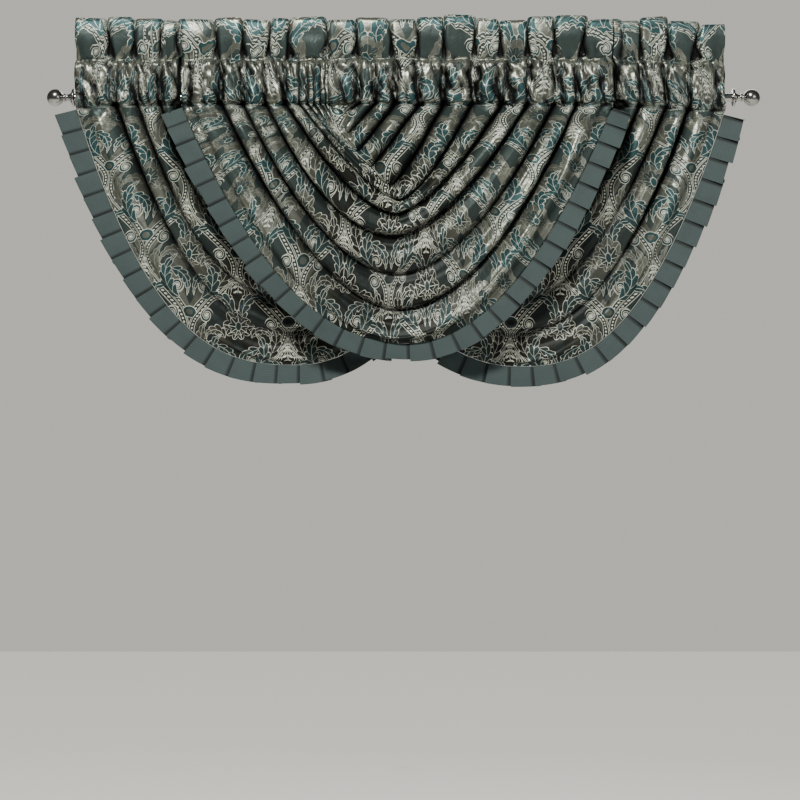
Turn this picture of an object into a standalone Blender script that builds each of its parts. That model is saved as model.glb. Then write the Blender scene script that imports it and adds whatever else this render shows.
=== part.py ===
"""Three overlapping waterfall valances threaded on one curtain rod.

Each valance is one sheet of cloth. Its heading doubles over to make a header and a
rod pocket, and below the pocket it hangs in U-shaped folds down to a curved hem.
A knife-pleated ruffle is sewn round each hem. The front of the cloth faces -Y.
The origin is the middle of the rod. Tables are in millimetres, x to the right from
the rod's middle and z up from its axis.
"""

import math

import bmesh
import bpy
import numpy as np

MM = 0.001

# Rod and finials
ROD_LENGTH = 1260.0
ROD_RADIUS = 8.0
ROD_SIDES = 32
FINIAL_SIDES = 20
FINIAL_GAP = 0.3
CUP_RADIUS = 17.0
CUP_RIM = 4.0
CUP_LENGTH = 14.0
NECK_RADIUS = 6.0
NECK_LENGTH = 8.0
KNOB_RADIUS = 16.0
ARC_STEPS = 4

# Cloth
CLOTH = 1.6
LAYER_GAP = 2.6
RUFFLE_WIDTH = 44.0
RUFFLE_GAP = 1.1
RUFFLE_INSET = 7.0
PLEAT = 42.0
PLEAT_RETURN = 4.0
PLEAT_RISE = 6.0
SEWN_RISE = 1.0
POINT_SPACING = 44.0
FEWEST_POINTS = 7

# Rod pocket: the cloth's middle runs at this radius round the rod, closest in its valleys
POCKET_RADIUS = 10.3
POCKET_CRINKLE = 3.4
LOW_TURN = 42.0
SIDE_HEIGHT = 0.5
PUFF_FRONT = 9.0
PUFF_BACK = 2.5
PUFF_AT_TOP = 0.6
PINCH_STAND = 0.8
FRONT_EDGE_RISE = 1.0

# How far a slice's x has moved over from the seam's gathers to the header's puffs
PINCH_SHARE = 0.25
MIDDLE_SHARE = 0.6

# The left legs of the inner folds tuck behind the outermost swag of the V, down to this relief
TUCKED_RELIEF = 0.12
TUCK_END = 0.46
TUCK_RUN = 0.22

# Depths of the swags, forward of the rod's axis, and how far below the seam they build up
CENTRE_DEPTH = 39.0
CENTRE_BULGE = 12.0
CENTRE_RELIEF = 25.0
CENTRE_BUILD_UP = 60.0
CENTRE_RELIEF_BUILD_UP = 90.0
SIDE_DEPTH = 6.0
SIDE_RELIEF = 25.0
SIDE_BUILD_UP = 160.0
SIDE_RELIEF_BUILD_UP = 130.0
COVERED_RELIEF = 5.0
COVERED_RISE = 0.6
COVER_START = 15.0
COVER_END = 100.0
BULGE_DROP = 300.0
BULGE_HALF_WIDTH = 450.0

# The folds of one valance from its innermost gather out to its hem. left_x and right_x are
# where the fold's ridge leaves the pocket seam, bottom_x and bottom_z its lowest point, and
# the powers shape each leg from a straight V (1) to a round U (2). The gaps are the dark
# clefts in the header outside that fold. rows is how many rows lie between it and the next
# fold out, drop is the share of that way that the cloth takes to fall into the valley.
FOLD_COLUMNS = (
    "name", "left_x", "bottom_x", "bottom_z", "right_x",
    "left_power", "right_power", "left_gap", "right_gap", "rows", "drop",
)
FOLD_ROWS = (
    ("gather", -140, -119, -13, -98, 1.0, 1.0, -147, -92, 2, 0.50),
    ("inner_1", -153, -100, -90, -41, 1.3, 1.2, -158, -27, 2, 0.50),
    ("inner_2", -165, -77, -122, 9, 1.3, 1.1, -170, 26, 2, 0.50),
    ("inner_3", -177, -46, -155, 52, 1.3, 1.05, -182, 77, 2, 0.50),
    ("inner_4", -189, -2, -189, 102, 1.5, 1.5, -197, 139, 2, 0.46),
    ("swag_5", -210, -16, -212, 166, 1.35, 1.5, -218, 183, 3, 0.40),
    ("swag_4", -250, -18, -249, 223, 2.0, 1.6, -252, 237, 3, 0.34),
    ("swag_3", -288, -7, -308, 265, 2.05, 1.65, -307, 289, 3, 0.44),
    ("swag_2", -332, -14, -390, 318, 1.75, 1.95, -361, 352, 3, 0.28),
    ("swag_1", -387, -10, -459, 362, 1.85, 1.95, -431, 418, 2, 0.50),
    ("hem", -425, 5, -472, 400, 2.2, 2.1, None, None, 0, 0.0),
)
HEM_RELIEF = 0.35
SHOULDER_RELIEF = 0.72

# The covered middle of a side valance has no inner folds, only a flat gather
SIDE_GATHER = dict(
    name="gather", left_x=-180, bottom_x=-17, bottom_z=-13, right_x=137,
    left_power=1.0, right_power=1.0, left_gap=-197, right_gap=152, rows=2, drop=0.5,
)
SIDE_GATHER_POINTS = 8
CENTRE_GATHER_POINTS = 4
GATHER_RELIEF = 0.5

# In a slice of the heading, the first point of the pocket's front panel
PANEL_START = 8

# Each valance's shifts from the centre one, and how much fuller its open leg hangs. Its
# pocket is threaded on the rod on its open side only, up to panel_end. Over the bend before
# that the header turns back, and the covered rest of the heading lies flat behind the rod.
VALANCE_COLUMNS = (
    "name", "open_side", "top_shift", "bottom_shift", "drop_shift", "fullness",
    "panel_end", "bend", "behind", "covered_depth", "ruffle_lean",
)
VALANCE_ROWS = (
    ("centre", 0, 0, 0, 0, 1.0, 0, 1, 0, 0, 36),
    ("left", -1, -202, -207, -40, 1.25, -427, 21, 17, 13, 28),
    ("right", 1, 214, 218, -43, 1.18, 402, 40, 24, -3, 28),
)
SIDE_LEAN = 14.0

# Heights along the heading, from the photo's uneven line
LEVEL_X = (-640, -560, -425, 0, 400, 560, 640)
SEAM_Z = (-17, -14, -13, -13, -14, -21, -29)
POCKET_TOP_Z = (71, 72, 72, 73, 71, 66, 59)

# Puffs of the header: each cleft's x and the height of the puff to its right
CLEFT_X = (
    -634, -566, -514, -460, -432, -361, -307, -252, -218, -147, -92, -27,
    26, 77, 139, 183, 237, 289, 352, 418, 452, 506, 566, 632,
)
PUFF_TOP_Z = (
    146, 148, 145, 142, 144, 147, 143, 146, 148, 143, 147, 144,
    148, 152, 145, 142, 149, 151, 144, 141, 148, 140, 134,
)

COLOURS = {
    "cloth": (0.150, 0.172, 0.158, 1.0),
    "ruffle": (0.050, 0.085, 0.088, 1.0),
    "metal": (0.330, 0.320, 0.300, 1.0),
}


def smooth(t):
    t = np.clip(t, 0.0, 1.0)
    return t * t * (3.0 - 2.0 * t)


def mix(a, b, share):
    return a + (b - a) * share


FOLDS = [dict(zip(FOLD_COLUMNS, row)) for row in FOLD_ROWS]
VALANCES = [dict(zip(VALANCE_COLUMNS, row)) for row in VALANCE_ROWS]


def seam_z(x):
    return np.interp(x, LEVEL_X, SEAM_Z)


def pocket_top_z(x):
    return np.interp(x, LEVEL_X, POCKET_TOP_Z)


def puff(x):
    """How far the header stands out at x, 0 in a cleft and 1 over most of a puff."""
    index = int(np.clip(np.searchsorted(CLEFT_X, x, side="right") - 1, 0, len(PUFF_TOP_Z) - 1))
    start, end = CLEFT_X[index], CLEFT_X[index + 1]
    across = np.clip((x - start) / (end - start), 0.0, 1.0)
    return 1.0 - abs(2.0 * across - 1.0) ** 4, PUFF_TOP_Z[index]


def shifted(fold, valance):
    """The same fold on another valance of the row."""
    moved = dict(fold)
    for key in ("left_x", "right_x"):
        moved[key] = fold[key] + valance["top_shift"]
    for key in ("left_gap", "right_gap"):
        if fold[key] is not None:
            moved[key] = fold[key] + valance["top_shift"]
    moved["bottom_x"] = fold["bottom_x"] + valance["bottom_shift"]
    moved["bottom_z"] = fold["bottom_z"] + valance["drop_shift"]
    if valance["open_side"] < 0:
        moved["left_power"] = fold["left_power"] * valance["fullness"]
    if valance["open_side"] > 0:
        moved["right_power"] = fold["right_power"] * valance["fullness"]
    if fold["name"] == "gather":
        moved["bottom_x"] = fold["bottom_x"] + valance["top_shift"]
        moved["bottom_z"] = seam_z(moved["bottom_x"])
    return moved


def folds_of(valance):
    if valance["name"] == "centre":
        return [shifted(fold, valance) for fold in FOLDS]
    first = [fold["name"] for fold in FOLDS].index("swag_5")
    return [shifted(SIDE_GATHER, valance)] + [shifted(fold, valance) for fold in FOLDS[first:]]


def leg(anchor_x, bottom_x, bottom_z, power, shares):
    """Points down one leg of a U, shares running from 0 at the seam to 1 at the bottom."""
    fine = np.linspace(1.0, 0.0, 60)
    x = bottom_x + (anchor_x - bottom_x) * fine
    z = bottom_z + (seam_z(anchor_x) - bottom_z) * fine**power
    run = np.concatenate([[0.0], np.cumsum(np.hypot(np.diff(x), np.diff(z)))])
    along = np.asarray(shares) * run[-1]
    return np.stack([np.interp(along, run, x), np.interp(along, run, z)], axis=1), run[-1]


def curve(fold, shares):
    """Points of a fold in x and z, shares 0 at its left end, 0.5 at its bottom and 1 at its right."""
    shares = np.asarray(shares, dtype=float)
    left, left_length = leg(
        fold["left_x"], fold["bottom_x"], fold["bottom_z"], fold["left_power"], np.clip(shares * 2, 0, 1)
    )
    right, right_length = leg(
        fold["right_x"], fold["bottom_x"], fold["bottom_z"], fold["right_power"],
        np.clip(2 - shares * 2, 0, 1),
    )
    return np.where((shares < 0.5)[:, None], left, right), left_length, right_length


def hem_side_x(z, side):
    """Where the centre valance's hem is at height z, on its left (-1) or right (1) side."""
    hem = FOLDS[-1]
    anchor, power = (
        (hem["left_x"], hem["left_power"]) if side < 0 else (hem["right_x"], hem["right_power"])
    )
    rise = np.clip((z - hem["bottom_z"]) / (seam_z(anchor) - hem["bottom_z"]), 0.0, 1.0)
    return hem["bottom_x"] + (anchor - hem["bottom_x"]) * rise ** (1.0 / power)


def covered(valance, x, z):
    """How far a point of a side valance is under the centre one: 0 in the open, 1 well under."""
    if valance["name"] == "centre":
        return np.zeros_like(x)
    side = valance["open_side"]
    inside = (hem_side_x(z, side) - x) * side
    under = smooth((inside - COVER_START) / (COVER_END - COVER_START))
    return np.where(z > FOLDS[-1]["bottom_z"], under, 0.0)


def laid_behind(valance, x):
    """0 where the heading is threaded on the rod, 1 where it lies flat behind the rod."""
    past = (valance["panel_end"] - x) * valance["open_side"] / valance["bend"]
    return float(smooth(past + 1.0)) if valance["open_side"] else 0.0


def has_panel(valance, x):
    """Whether the pocket's front panel passes in front of the rod at x."""
    return (x - valance["panel_end"]) * valance["open_side"] >= 0


def forward(valance, x, z, relief):
    """How far in front of the rod's axis the cloth's middle lies below the pocket seam."""
    drop = np.maximum(seam_z(x) - z, 0.0)
    behind = np.array([laid_behind(valance, value) for value in x]) * valance["behind"]
    seam = LAYER_GAP / 2 - behind
    if valance["name"] == "centre":
        bulge = CENTRE_BULGE * smooth(drop / BULGE_DROP) * (1 - (x / BULGE_HALF_WIDTH) ** 2)
        base = mix(seam, CENTRE_DEPTH, smooth(drop / CENTRE_BUILD_UP)) + bulge
        return base + CENTRE_RELIEF * smooth(drop / CENTRE_RELIEF_BUILD_UP) * relief
    under = covered(valance, x, z)
    end = mix(SIDE_DEPTH, valance["covered_depth"], under)
    height = mix(SIDE_RELIEF, COVERED_RELIEF, under) * smooth(drop / SIDE_RELIEF_BUILD_UP)
    return mix(seam, end, smooth(drop / SIDE_BUILD_UP)) + height * relief


def pleat_starts(hem):
    """Shares along the hem where each pleat of the ruffle starts and where it turns back."""
    _, left_length, right_length = curve(hem, [0.0])
    length = left_length + right_length
    sewn = length - 2 * RUFFLE_INSET
    count = round(sewn / PLEAT)
    along = []
    for index in range(count):
        start = RUFFLE_INSET + sewn * index / count
        along += [start, start + sewn / count - PLEAT_RETURN]
    return [share_of(value, left_length, right_length) for value in along]


def share_of(along, left_length, right_length):
    if along < left_length:
        return 0.5 * along / left_length
    return 0.5 + 0.5 * (along - left_length) / right_length


def rows_of(valance):
    """Rows of the swag from the gather to the hem: shares, x, z, relief and both cleft places."""
    folds = folds_of(valance)
    rows = []
    for inner, outer in zip(folds, folds[1:]):
        steps = inner["rows"]
        for step in range(steps):
            valley = inner["drop"]
            share = (0.0, valley, mix(valley, 1.0, 0.5))[step]
            relief = (1.0, 0.0, SHOULDER_RELIEF)[step]
            if inner["name"] == "gather" and step == 0:
                relief = GATHER_RELIEF
            rows.append((inner, outer, share, relief))
    rows.append((folds[-2], folds[-1], 1.0, HEM_RELIEF))
    made = []
    for inner, outer, share, relief in rows:
        if share == 0.0 and inner["name"] == "gather":
            points = CENTRE_GATHER_POINTS if valance["name"] == "centre" else SIDE_GATHER_POINTS
            shares = np.linspace(0.0, 1.0, points)
        elif share == 1.0:
            shares = np.array([0.0] + pleat_starts(outer) + [1.0])
        else:
            length = mix(sum(curve(inner, [0.0])[1:]), sum(curve(outer, [0.0])[1:]), share)
            shares = np.linspace(0.0, 1.0, max(FEWEST_POINTS, round(length / POINT_SPACING) | 1))
        places = mix(curve(inner, shares)[0], curve(outer, shares)[0], share)
        places[0, 1], places[-1, 1] = seam_z(places[0, 0]), seam_z(places[-1, 0])
        if share == 0.0 and inner["name"] == "gather":
            places[:, 1] = seam_z(places[:, 0])
        made.append((shares, places, relief * tucked(inner, shares)))
    return made


def tucked(fold, shares):
    """How much of its relief an inner fold keeps along its length."""
    if fold["name"].startswith("inner"):
        return mix(TUCKED_RELIEF, 1.0, smooth((shares - TUCK_END) / TUCK_RUN))
    return np.ones_like(shares)


def header_places(valance):
    """Pairs that carry an x on the pocket seam to its x in the header, so valleys meet clefts."""
    folds = folds_of(valance)
    pairs = [(folds[-1]["left_x"], folds[-1]["left_x"]), (folds[-1]["right_x"], folds[-1]["right_x"])]
    for inner, outer in zip(folds, folds[1:-1]):
        for side in ("left", "right"):
            valley = mix(inner[side + "_x"], outer[side + "_x"], inner["drop"])
            pairs.append((valley, inner[side + "_gap"]))
    return np.array(sorted(pairs))


def heading_section(valance, x, header_x, relief):
    """One upright slice of the heading: from the back edge of the pocket over the header to the seam."""
    behind = laid_behind(valance, x)
    stand, top = puff(header_x)
    stand *= 1.0 - behind
    seam, pocket_top = seam_z(x), pocket_top_z(x)
    radius = POCKET_RADIUS + POCKET_CRINKLE * relief
    half = LAYER_GAP / 2
    low = radius * math.sin(math.radians(LOW_TURN))
    low_z = -radius * math.cos(math.radians(LOW_TURN)) + min(seam + POCKET_RADIUS + 3.0, 0.0)
    shift = behind * valance["behind"]
    back_side, back_low = mix(radius, shift + half, behind), mix(low, shift + half, behind)
    front_side, front_low = radius, low
    if not has_panel(valance, x):
        front_side = front_low = half - shift
    pinch_x = mix(x, header_x, PINCH_SHARE)
    middle_x, middle_z = mix(x, header_x, MIDDLE_SHARE), mix(pocket_top, top, 0.5)
    return (
        (x, shift + half, seam + half),
        (x, back_low, low_z),
        (x, back_side, SIDE_HEIGHT),
        (pinch_x, shift + half, pocket_top),
        (middle_x, shift + half + PUFF_BACK * stand, middle_z),
        (header_x, shift + half + PUFF_AT_TOP * PUFF_BACK * stand, top),
        (header_x, shift - half - PUFF_AT_TOP * PUFF_FRONT * stand, top + FRONT_EDGE_RISE),
        (middle_x, shift - half - PUFF_FRONT * stand, middle_z),
        (pinch_x, shift - half - PINCH_STAND * stand, pocket_top),
        (x, -front_side, SIDE_HEIGHT),
        (x, -front_low, low_z),
        (x, shift - half, seam),
    )


def cloth_sheet(valance):
    """The valance's middle surface: heading and swag in one mesh, sewn together at the seam."""
    rows = rows_of(valance)
    pairs = header_places(valance)
    stations = [(places[0, 0], relief[0]) for shares, places, relief in reversed(rows)]
    stations += [(x, GATHER_RELIEF) for x in rows[0][1][1:-1, 0]]
    stations += [(places[-1, 0], relief[-1]) for shares, places, relief in rows]

    bm = bmesh.new()
    columns = []
    for x, relief in stations:
        header_x = float(np.interp(x, pairs[:, 0], pairs[:, 1]))
        section = heading_section(valance, x, header_x, relief)
        columns.append([bm.verts.new([value * MM for value in point]) for point in section])
    panels = [has_panel(valance, x) for x, relief in stations]
    for place, (left, right) in enumerate(zip(columns, columns[1:])):
        crossing = panels[place] != panels[place + 1]
        for index in range(len(left) - 1):
            if crossing and index >= PANEL_START:
                continue
            bm.faces.new([left[index], left[index + 1], right[index + 1], right[index]])

    seam = [column[-1] for column in columns]
    count = len(rows)
    lines = []
    for number, (shares, places, relief) in enumerate(rows):
        if number == 0:
            lines.append((shares, seam[count - 1 : len(seam) - count + 1]))
            continue
        y = -forward(valance, places[:, 0], places[:, 1], relief)
        inner = [
            bm.verts.new((x * MM, depth * MM, z * MM))
            for (x, z), depth in zip(places[1:-1], y[1:-1])
        ]
        lines.append((shares, [seam[count - 1 - number], *inner, seam[len(seam) - count + number]]))
    for upper, lower in zip(lines, lines[1:]):
        zip_rows(bm, upper, lower)
    return bm


def zip_rows(bm, upper, lower):
    """Triangles between two rows of unlike point counts."""
    (upper_shares, upper_verts), (lower_shares, lower_verts) = upper, lower
    i = j = 0
    while i < len(upper_verts) - 1 or j < len(lower_verts) - 1:
        take_upper = j == len(lower_verts) - 1 or (
            i < len(upper_verts) - 1 and upper_shares[i + 1] <= lower_shares[j + 1]
        )
        if take_upper:
            corner = upper_verts[i + 1]
        else:
            corner = lower_verts[j + 1]
        bm.faces.new([upper_verts[i], lower_verts[j], corner])
        if take_upper:
            i += 1
        else:
            j += 1


def ruffle_sheet(valance):
    """The ruffle's middle surface: knife pleats that fan out from the hem."""
    hem = folds_of(valance)[-1]
    shares = np.array(pleat_starts(hem))
    step = 1e-3
    places = curve(hem, shares)[0]
    tangent = curve(hem, np.clip(shares + step, 0, 1))[0] - curve(hem, np.clip(shares - step, 0, 1))[0]
    tangent /= np.linalg.norm(tangent, axis=1)[:, None]
    outward = np.stack([tangent[:, 1], -tangent[:, 0]], axis=1)
    depth = forward(valance, places[:, 0], places[:, 1], HEM_RELIEF)
    under = covered(valance, places[:, 0], places[:, 1])
    lean = mix(SIDE_LEAN, valance["ruffle_lean"], np.abs(outward[:, 1]) ** 2) * (1 - under)
    lean = np.radians(lean)
    front = np.where(np.arange(len(shares)) % 2 == 0, 1.0, 0.0)
    bm = bmesh.new()
    lines = []
    for away, rise in ((RUFFLE_GAP, SEWN_RISE), (RUFFLE_WIDTH, PLEAT_RISE)):
        rise = mix(rise, COVERED_RISE * rise, under) * front
        reach = away * np.cos(lean) - rise * np.sin(lean)
        out = depth + away * np.sin(lean) + rise * np.cos(lean)
        flat = places + outward * reach[:, None]
        lines.append([bm.verts.new((x * MM, -f * MM, z * MM)) for (x, z), f in zip(flat, out)])
    inner, outer = lines
    for index in range(len(inner) - 1):
        bm.faces.new([inner[index], outer[index], outer[index + 1], inner[index + 1]])
    return bm


def material(name, roughness, metallic):
    made = bpy.data.materials.new(name)
    made.use_nodes = True
    shader = made.node_tree.nodes["Principled BSDF"]
    shader.inputs["Base Color"].default_value = COLOURS[name]
    shader.inputs["Roughness"].default_value = roughness
    shader.inputs["Metallic"].default_value = metallic
    made.diffuse_color = COLOURS[name]
    return made


def add_object(name, bm, finish, collection):
    bmesh.ops.recalc_face_normals(bm, faces=bm.faces)
    mesh = bpy.data.meshes.new(name)
    bm.to_mesh(mesh)
    bm.free()
    made = bpy.data.objects.new(name, mesh)
    made.data.materials.append(finish)
    collection.objects.link(made)
    return made


def thicken(made):
    """Gives a sheet the cloth's thickness, half on each side."""
    solid = made.modifiers.new("cloth", "SOLIDIFY")
    solid.thickness = CLOTH * MM
    solid.offset = 0.0
    solid.use_rim = True


def make_rod(finish, collection):
    bm = bmesh.new()
    bmesh.ops.create_cone(
        bm, cap_ends=True, segments=ROD_SIDES, radius1=ROD_RADIUS * MM, radius2=ROD_RADIUS * MM,
        depth=ROD_LENGTH * MM,
    )
    rod = add_object("rod", bm, finish, collection)
    rod.rotation_euler = (0.0, math.radians(90), 0.0)


def finial_profile():
    """Radius and distance out from the rod's end: cup, neck and round knob."""
    profile = [(0.0, 0.0), (CUP_RADIUS, 0.0), (CUP_RADIUS, CUP_RIM)]
    for step in range(1, ARC_STEPS + 1):
        turn = math.radians(90) * step / ARC_STEPS
        radius = NECK_RADIUS + (CUP_RADIUS - NECK_RADIUS) * (1 - math.sin(turn))
        profile.append((radius, CUP_RIM + (CUP_LENGTH - CUP_RIM) * (1 - math.cos(turn))))
    neck_end = CUP_LENGTH + NECK_LENGTH
    sunk = math.sqrt(KNOB_RADIUS**2 - NECK_RADIUS**2)
    start = math.asin(NECK_RADIUS / KNOB_RADIUS)
    for step in range(ARC_STEPS + 4):
        turn = start + (math.pi - start) * step / (ARC_STEPS + 3)
        profile.append((KNOB_RADIUS * math.sin(turn), neck_end + sunk - KNOB_RADIUS * math.cos(turn)))
    profile[-1] = (0.0, profile[-1][1])
    return profile


def make_finial(name, side, finish, collection):
    bm = bmesh.new()
    verts = [bm.verts.new((radius * MM, 0.0, -out * MM)) for radius, out in finial_profile()]
    for first, second in zip(verts, verts[1:]):
        bm.edges.new((first, second))
    mesh = bpy.data.meshes.new(name)
    bm.to_mesh(mesh)
    bm.free()
    finial = bpy.data.objects.new(name, mesh)
    mesh.materials.append(finish)
    collection.objects.link(finial)
    screw = finial.modifiers.new("turned", "SCREW")
    screw.steps = FINIAL_SIDES
    screw.render_steps = FINIAL_SIDES
    screw.use_merge_vertices = True
    screw.merge_threshold = 0.00001
    finial.rotation_euler = (0.0, math.radians(-90 * side), 0.0)
    finial.location = (side * (ROD_LENGTH / 2 + FINIAL_GAP) * MM, 0.0, 0.0)


def main():
    for old in list(bpy.data.objects):
        bpy.data.objects.remove(old, do_unlink=True)
    collection = bpy.data.collections.new("waterfall_valances")
    bpy.context.scene.collection.children.link(collection)
    cloth = material("cloth", 0.55, 0.0)
    ruffle = material("ruffle", 0.75, 0.0)
    metal = material("metal", 0.32, 1.0)
    make_rod(metal, collection)
    make_finial("finial_left", -1, metal, collection)
    make_finial("finial_right", 1, metal, collection)
    for valance in VALANCES:
        thicken(add_object("valance_" + valance["name"], cloth_sheet(valance), cloth, collection))
        thicken(add_object("ruffle_" + valance["name"], ruffle_sheet(valance), ruffle, collection))


main()
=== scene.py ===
# %% [markdown]
# # Waterfall valances on a curtain rod
# Three alike valances of satin damask share one rod. Each is a single panel of cloth: its heading
# doubles over into a stand-up header and a rod pocket, and below the pocket it falls in U-shaped
# folds to a curved hem with a knife-pleated ruffle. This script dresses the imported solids: it
# draws every valance again as fine cloth in the same place, and gives each surface its finish.

# %% Start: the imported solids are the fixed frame
import math

import bmesh
import bpy
import numpy as np
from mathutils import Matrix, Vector


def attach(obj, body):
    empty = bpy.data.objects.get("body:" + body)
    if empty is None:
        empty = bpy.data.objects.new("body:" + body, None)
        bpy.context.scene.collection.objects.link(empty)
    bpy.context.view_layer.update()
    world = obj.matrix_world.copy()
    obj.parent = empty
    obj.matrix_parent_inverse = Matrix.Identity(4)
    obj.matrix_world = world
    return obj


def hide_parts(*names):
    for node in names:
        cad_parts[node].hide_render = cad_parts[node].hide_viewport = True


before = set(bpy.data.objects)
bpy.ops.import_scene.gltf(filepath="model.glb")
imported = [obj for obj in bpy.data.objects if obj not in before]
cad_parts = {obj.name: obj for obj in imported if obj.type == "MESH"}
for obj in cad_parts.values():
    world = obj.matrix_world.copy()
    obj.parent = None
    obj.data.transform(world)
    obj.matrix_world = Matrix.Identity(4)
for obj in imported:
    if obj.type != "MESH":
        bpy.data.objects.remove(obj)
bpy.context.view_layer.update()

# %% [markdown]
# ## Sizes
# Everything is measured in millimetres from the middle of the rod, x to the right and z up, and
# turned into metres at the very end. Most are the solids' own values, so the fine cloth lies where
# the solids lie. Only its rolls, puffs and covered folds are deeper, and one small inner fold is
# added. Naming the values once keeps the cloth and the ruffle on the same lines.

# %% Sizes of the heading and the cloth
MM = 0.001
CLOTH = 1.2
LAYER_GAP = 2.6
ROW_SPACING = 4.4
POINT_SPACING = 6.2
FEWEST_POINTS = 9

POCKET_RADIUS = 10.3
POCKET_CRINKLE = 3.4
LOW_TURN = 42.0
SIDE_HEIGHT = 0.5
PUFF_FRONT = 17.0
PUFF_BACK = 4.0
PUFF_AT_TOP = 0.7
PINCH_STAND = 5.0
FRONT_EDGE_RISE = 1.0
PINCH_SHARE = 0.25
MIDDLE_SHARE = 0.6

CENTRE_DEPTH = 39.0
CENTRE_BULGE = 12.0
CENTRE_RELIEF = 25.0
CENTRE_BUILD_UP = 60.0
SIDE_DEPTH = 6.0
SIDE_BUILD_UP = 160.0
SIDE_RELIEF_BUILD_UP = 130.0
COVERED_RELIEF = 9.0
COVER_START = 15.0
COVER_END = 100.0
BULGE_DROP = 300.0
BULGE_HALF_WIDTH = 450.0
HEM_RELIEF = 0.35
GATHER_RELIEF = 0.5
TUCKED_LEVEL = 0.50
TUCK_END = 0.45
TUCK_RUN = 0.09
TUCK_TOP = 0.7
TUCK_TOP_RUN = 0.30

FOLD_COLUMNS = (
    "name", "left_x", "bottom_x", "bottom_z", "right_x",
    "left_power", "right_power", "left_gap", "right_gap", "drop",
)
FOLD_ROWS = (
    ("gather", -140, -119, -13, -98, 1.0, 1.0, -147, -92, 0.50),
    ("inner_0", -146, -111, -54, -72, 1.2, 1.1, -152, -62, 0.50),
    ("inner_1", -153, -100, -90, -41, 1.3, 1.2, -158, -27, 0.50),
    ("inner_2", -165, -77, -122, 9, 1.3, 1.1, -170, 26, 0.50),
    ("inner_3", -177, -46, -155, 52, 1.3, 1.05, -182, 77, 0.50),
    ("inner_4", -189, -2, -189, 102, 1.5, 1.5, -197, 139, 0.46),
    ("swag_5", -210, -16, -212, 166, 1.35, 1.5, -218, 183, 0.40),
    ("swag_4", -250, -18, -249, 223, 2.0, 1.6, -252, 237, 0.34),
    ("swag_3", -288, -7, -308, 265, 2.05, 1.65, -307, 289, 0.44),
    ("swag_2", -332, -14, -390, 318, 1.75, 1.95, -361, 352, 0.28),
    ("swag_1", -387, -10, -459, 362, 1.85, 1.95, -431, 418, 0.50),
    ("hem", -425, 5, -472, 400, 2.2, 2.1, None, None, 0.0),
)
SIDE_GATHER = dict(
    name="gather", left_x=-180, bottom_x=-17, bottom_z=-13, right_x=137,
    left_power=1.0, right_power=1.0, left_gap=-197, right_gap=152, drop=0.5,
)
VALANCE_COLUMNS = (
    "name", "open_side", "top_shift", "bottom_shift", "drop_shift", "fullness",
    "panel_end", "bend", "behind", "covered_depth", "ruffle_lean",
)
VALANCE_ROWS = (
    ("centre", 0, 0, 0, 0, 1.0, 0, 1, 0, 0, 36),
    ("left", -1, -202, -207, -40, 1.25, -427, 21, 17, 13, 28),
    ("right", 1, 214, 218, -43, 1.18, 402, 40, 24, -3, 28),
)
FOLDS = [dict(zip(FOLD_COLUMNS, row)) for row in FOLD_ROWS]
VALANCES = [dict(zip(VALANCE_COLUMNS, row)) for row in VALANCE_ROWS]

LEVEL_X = (-640, -560, -425, 0, 400, 560, 640)
SEAM_Z = (-17, -14, -13, -13, -14, -21, -29)
POCKET_TOP_Z = (71, 72, 72, 73, 71, 66, 59)
CLEFT_X = np.array((
    -634, -566, -514, -460, -432, -361, -307, -252, -218, -147, -92, -27,
    26, 77, 139, 183, 237, 289, 352, 418, 452, 506, 566, 632,
), dtype=float)
PUFF_TOP_Z = np.array((
    146, 148, 145, 142, 144, 147, 143, 146, 148, 143, 147, 144,
    148, 152, 145, 142, 149, 151, 144, 141, 148, 140, 134,
), dtype=float)
print(len(FOLDS), "folds in a valance,", len(PUFF_TOP_Z), "puffs in the row of headers")

# %% [markdown]
# ## Small tools
# Cloth is never even, so most shapes here are a smooth rule plus seeded noise. The noise is one
# random number for each square of a grid, blended smoothly in between. A fixed seed gives the
# same wrinkles on every run.

# %% Blends, noise and a smooth line through points
NOISE_CELLS = 64


def smooth(t):
    t = np.clip(t, 0.0, 1.0)
    return t * t * (3.0 - 2.0 * t)


def mix(a, b, share):
    return a + (b - a) * share


def running(lengths):
    """How far each point of a line is along it, from the lengths between the points."""
    return np.concatenate([[0.0], np.cumsum(lengths)])


def noise(u, v, seed):
    """Smooth noise from -1 to 1 with one random value for each unit square of u and v."""
    table = np.random.default_rng(seed).uniform(-1.0, 1.0, (NOISE_CELLS, NOISE_CELLS))
    u, v = np.broadcast_arrays(u, v)
    column, row = np.floor(u).astype(int), np.floor(v).astype(int)
    across, down = smooth(u - column), smooth(v - row)
    left = mix(table[column % NOISE_CELLS, row % NOISE_CELLS],
               table[column % NOISE_CELLS, (row + 1) % NOISE_CELLS], down)
    right = mix(table[(column + 1) % NOISE_CELLS, row % NOISE_CELLS],
                table[(column + 1) % NOISE_CELLS, (row + 1) % NOISE_CELLS], down)
    return mix(left, right, across)


def through(points, steps):
    """A smooth line through points, with so many steps in each span. Points are (span, column, xyz)."""
    ends = np.concatenate([points[:1], points, points[-1:]])
    line = []
    for span, count in enumerate(steps):
        before, start, end, after = ends[span : span + 4]
        for step in range(count):
            t = step / count
            line.append(0.5 * (
                2 * start + (end - before) * t + (2 * before - 5 * start + 4 * end - after) * t**2
                + (3 * start - before - 3 * end + after) * t**3
            ))
    line.append(points[-1])
    return np.array(line)


print("noise at one place:", round(float(noise(np.array(0.4), np.array(2.2), 3)), 4))

# %% [markdown]
# ## The folds
# A waterfall valance hangs in nested U's. Each U starts at the pocket seam on the left, dips to
# its lowest point and climbs back to the seam on the right. A table gives every U's ends, lowest
# point and roundness, and the cloth between two U's is a blend of them. That keeps the hang of
# the real folds and still gives as many rows as the fine cloth needs.

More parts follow.
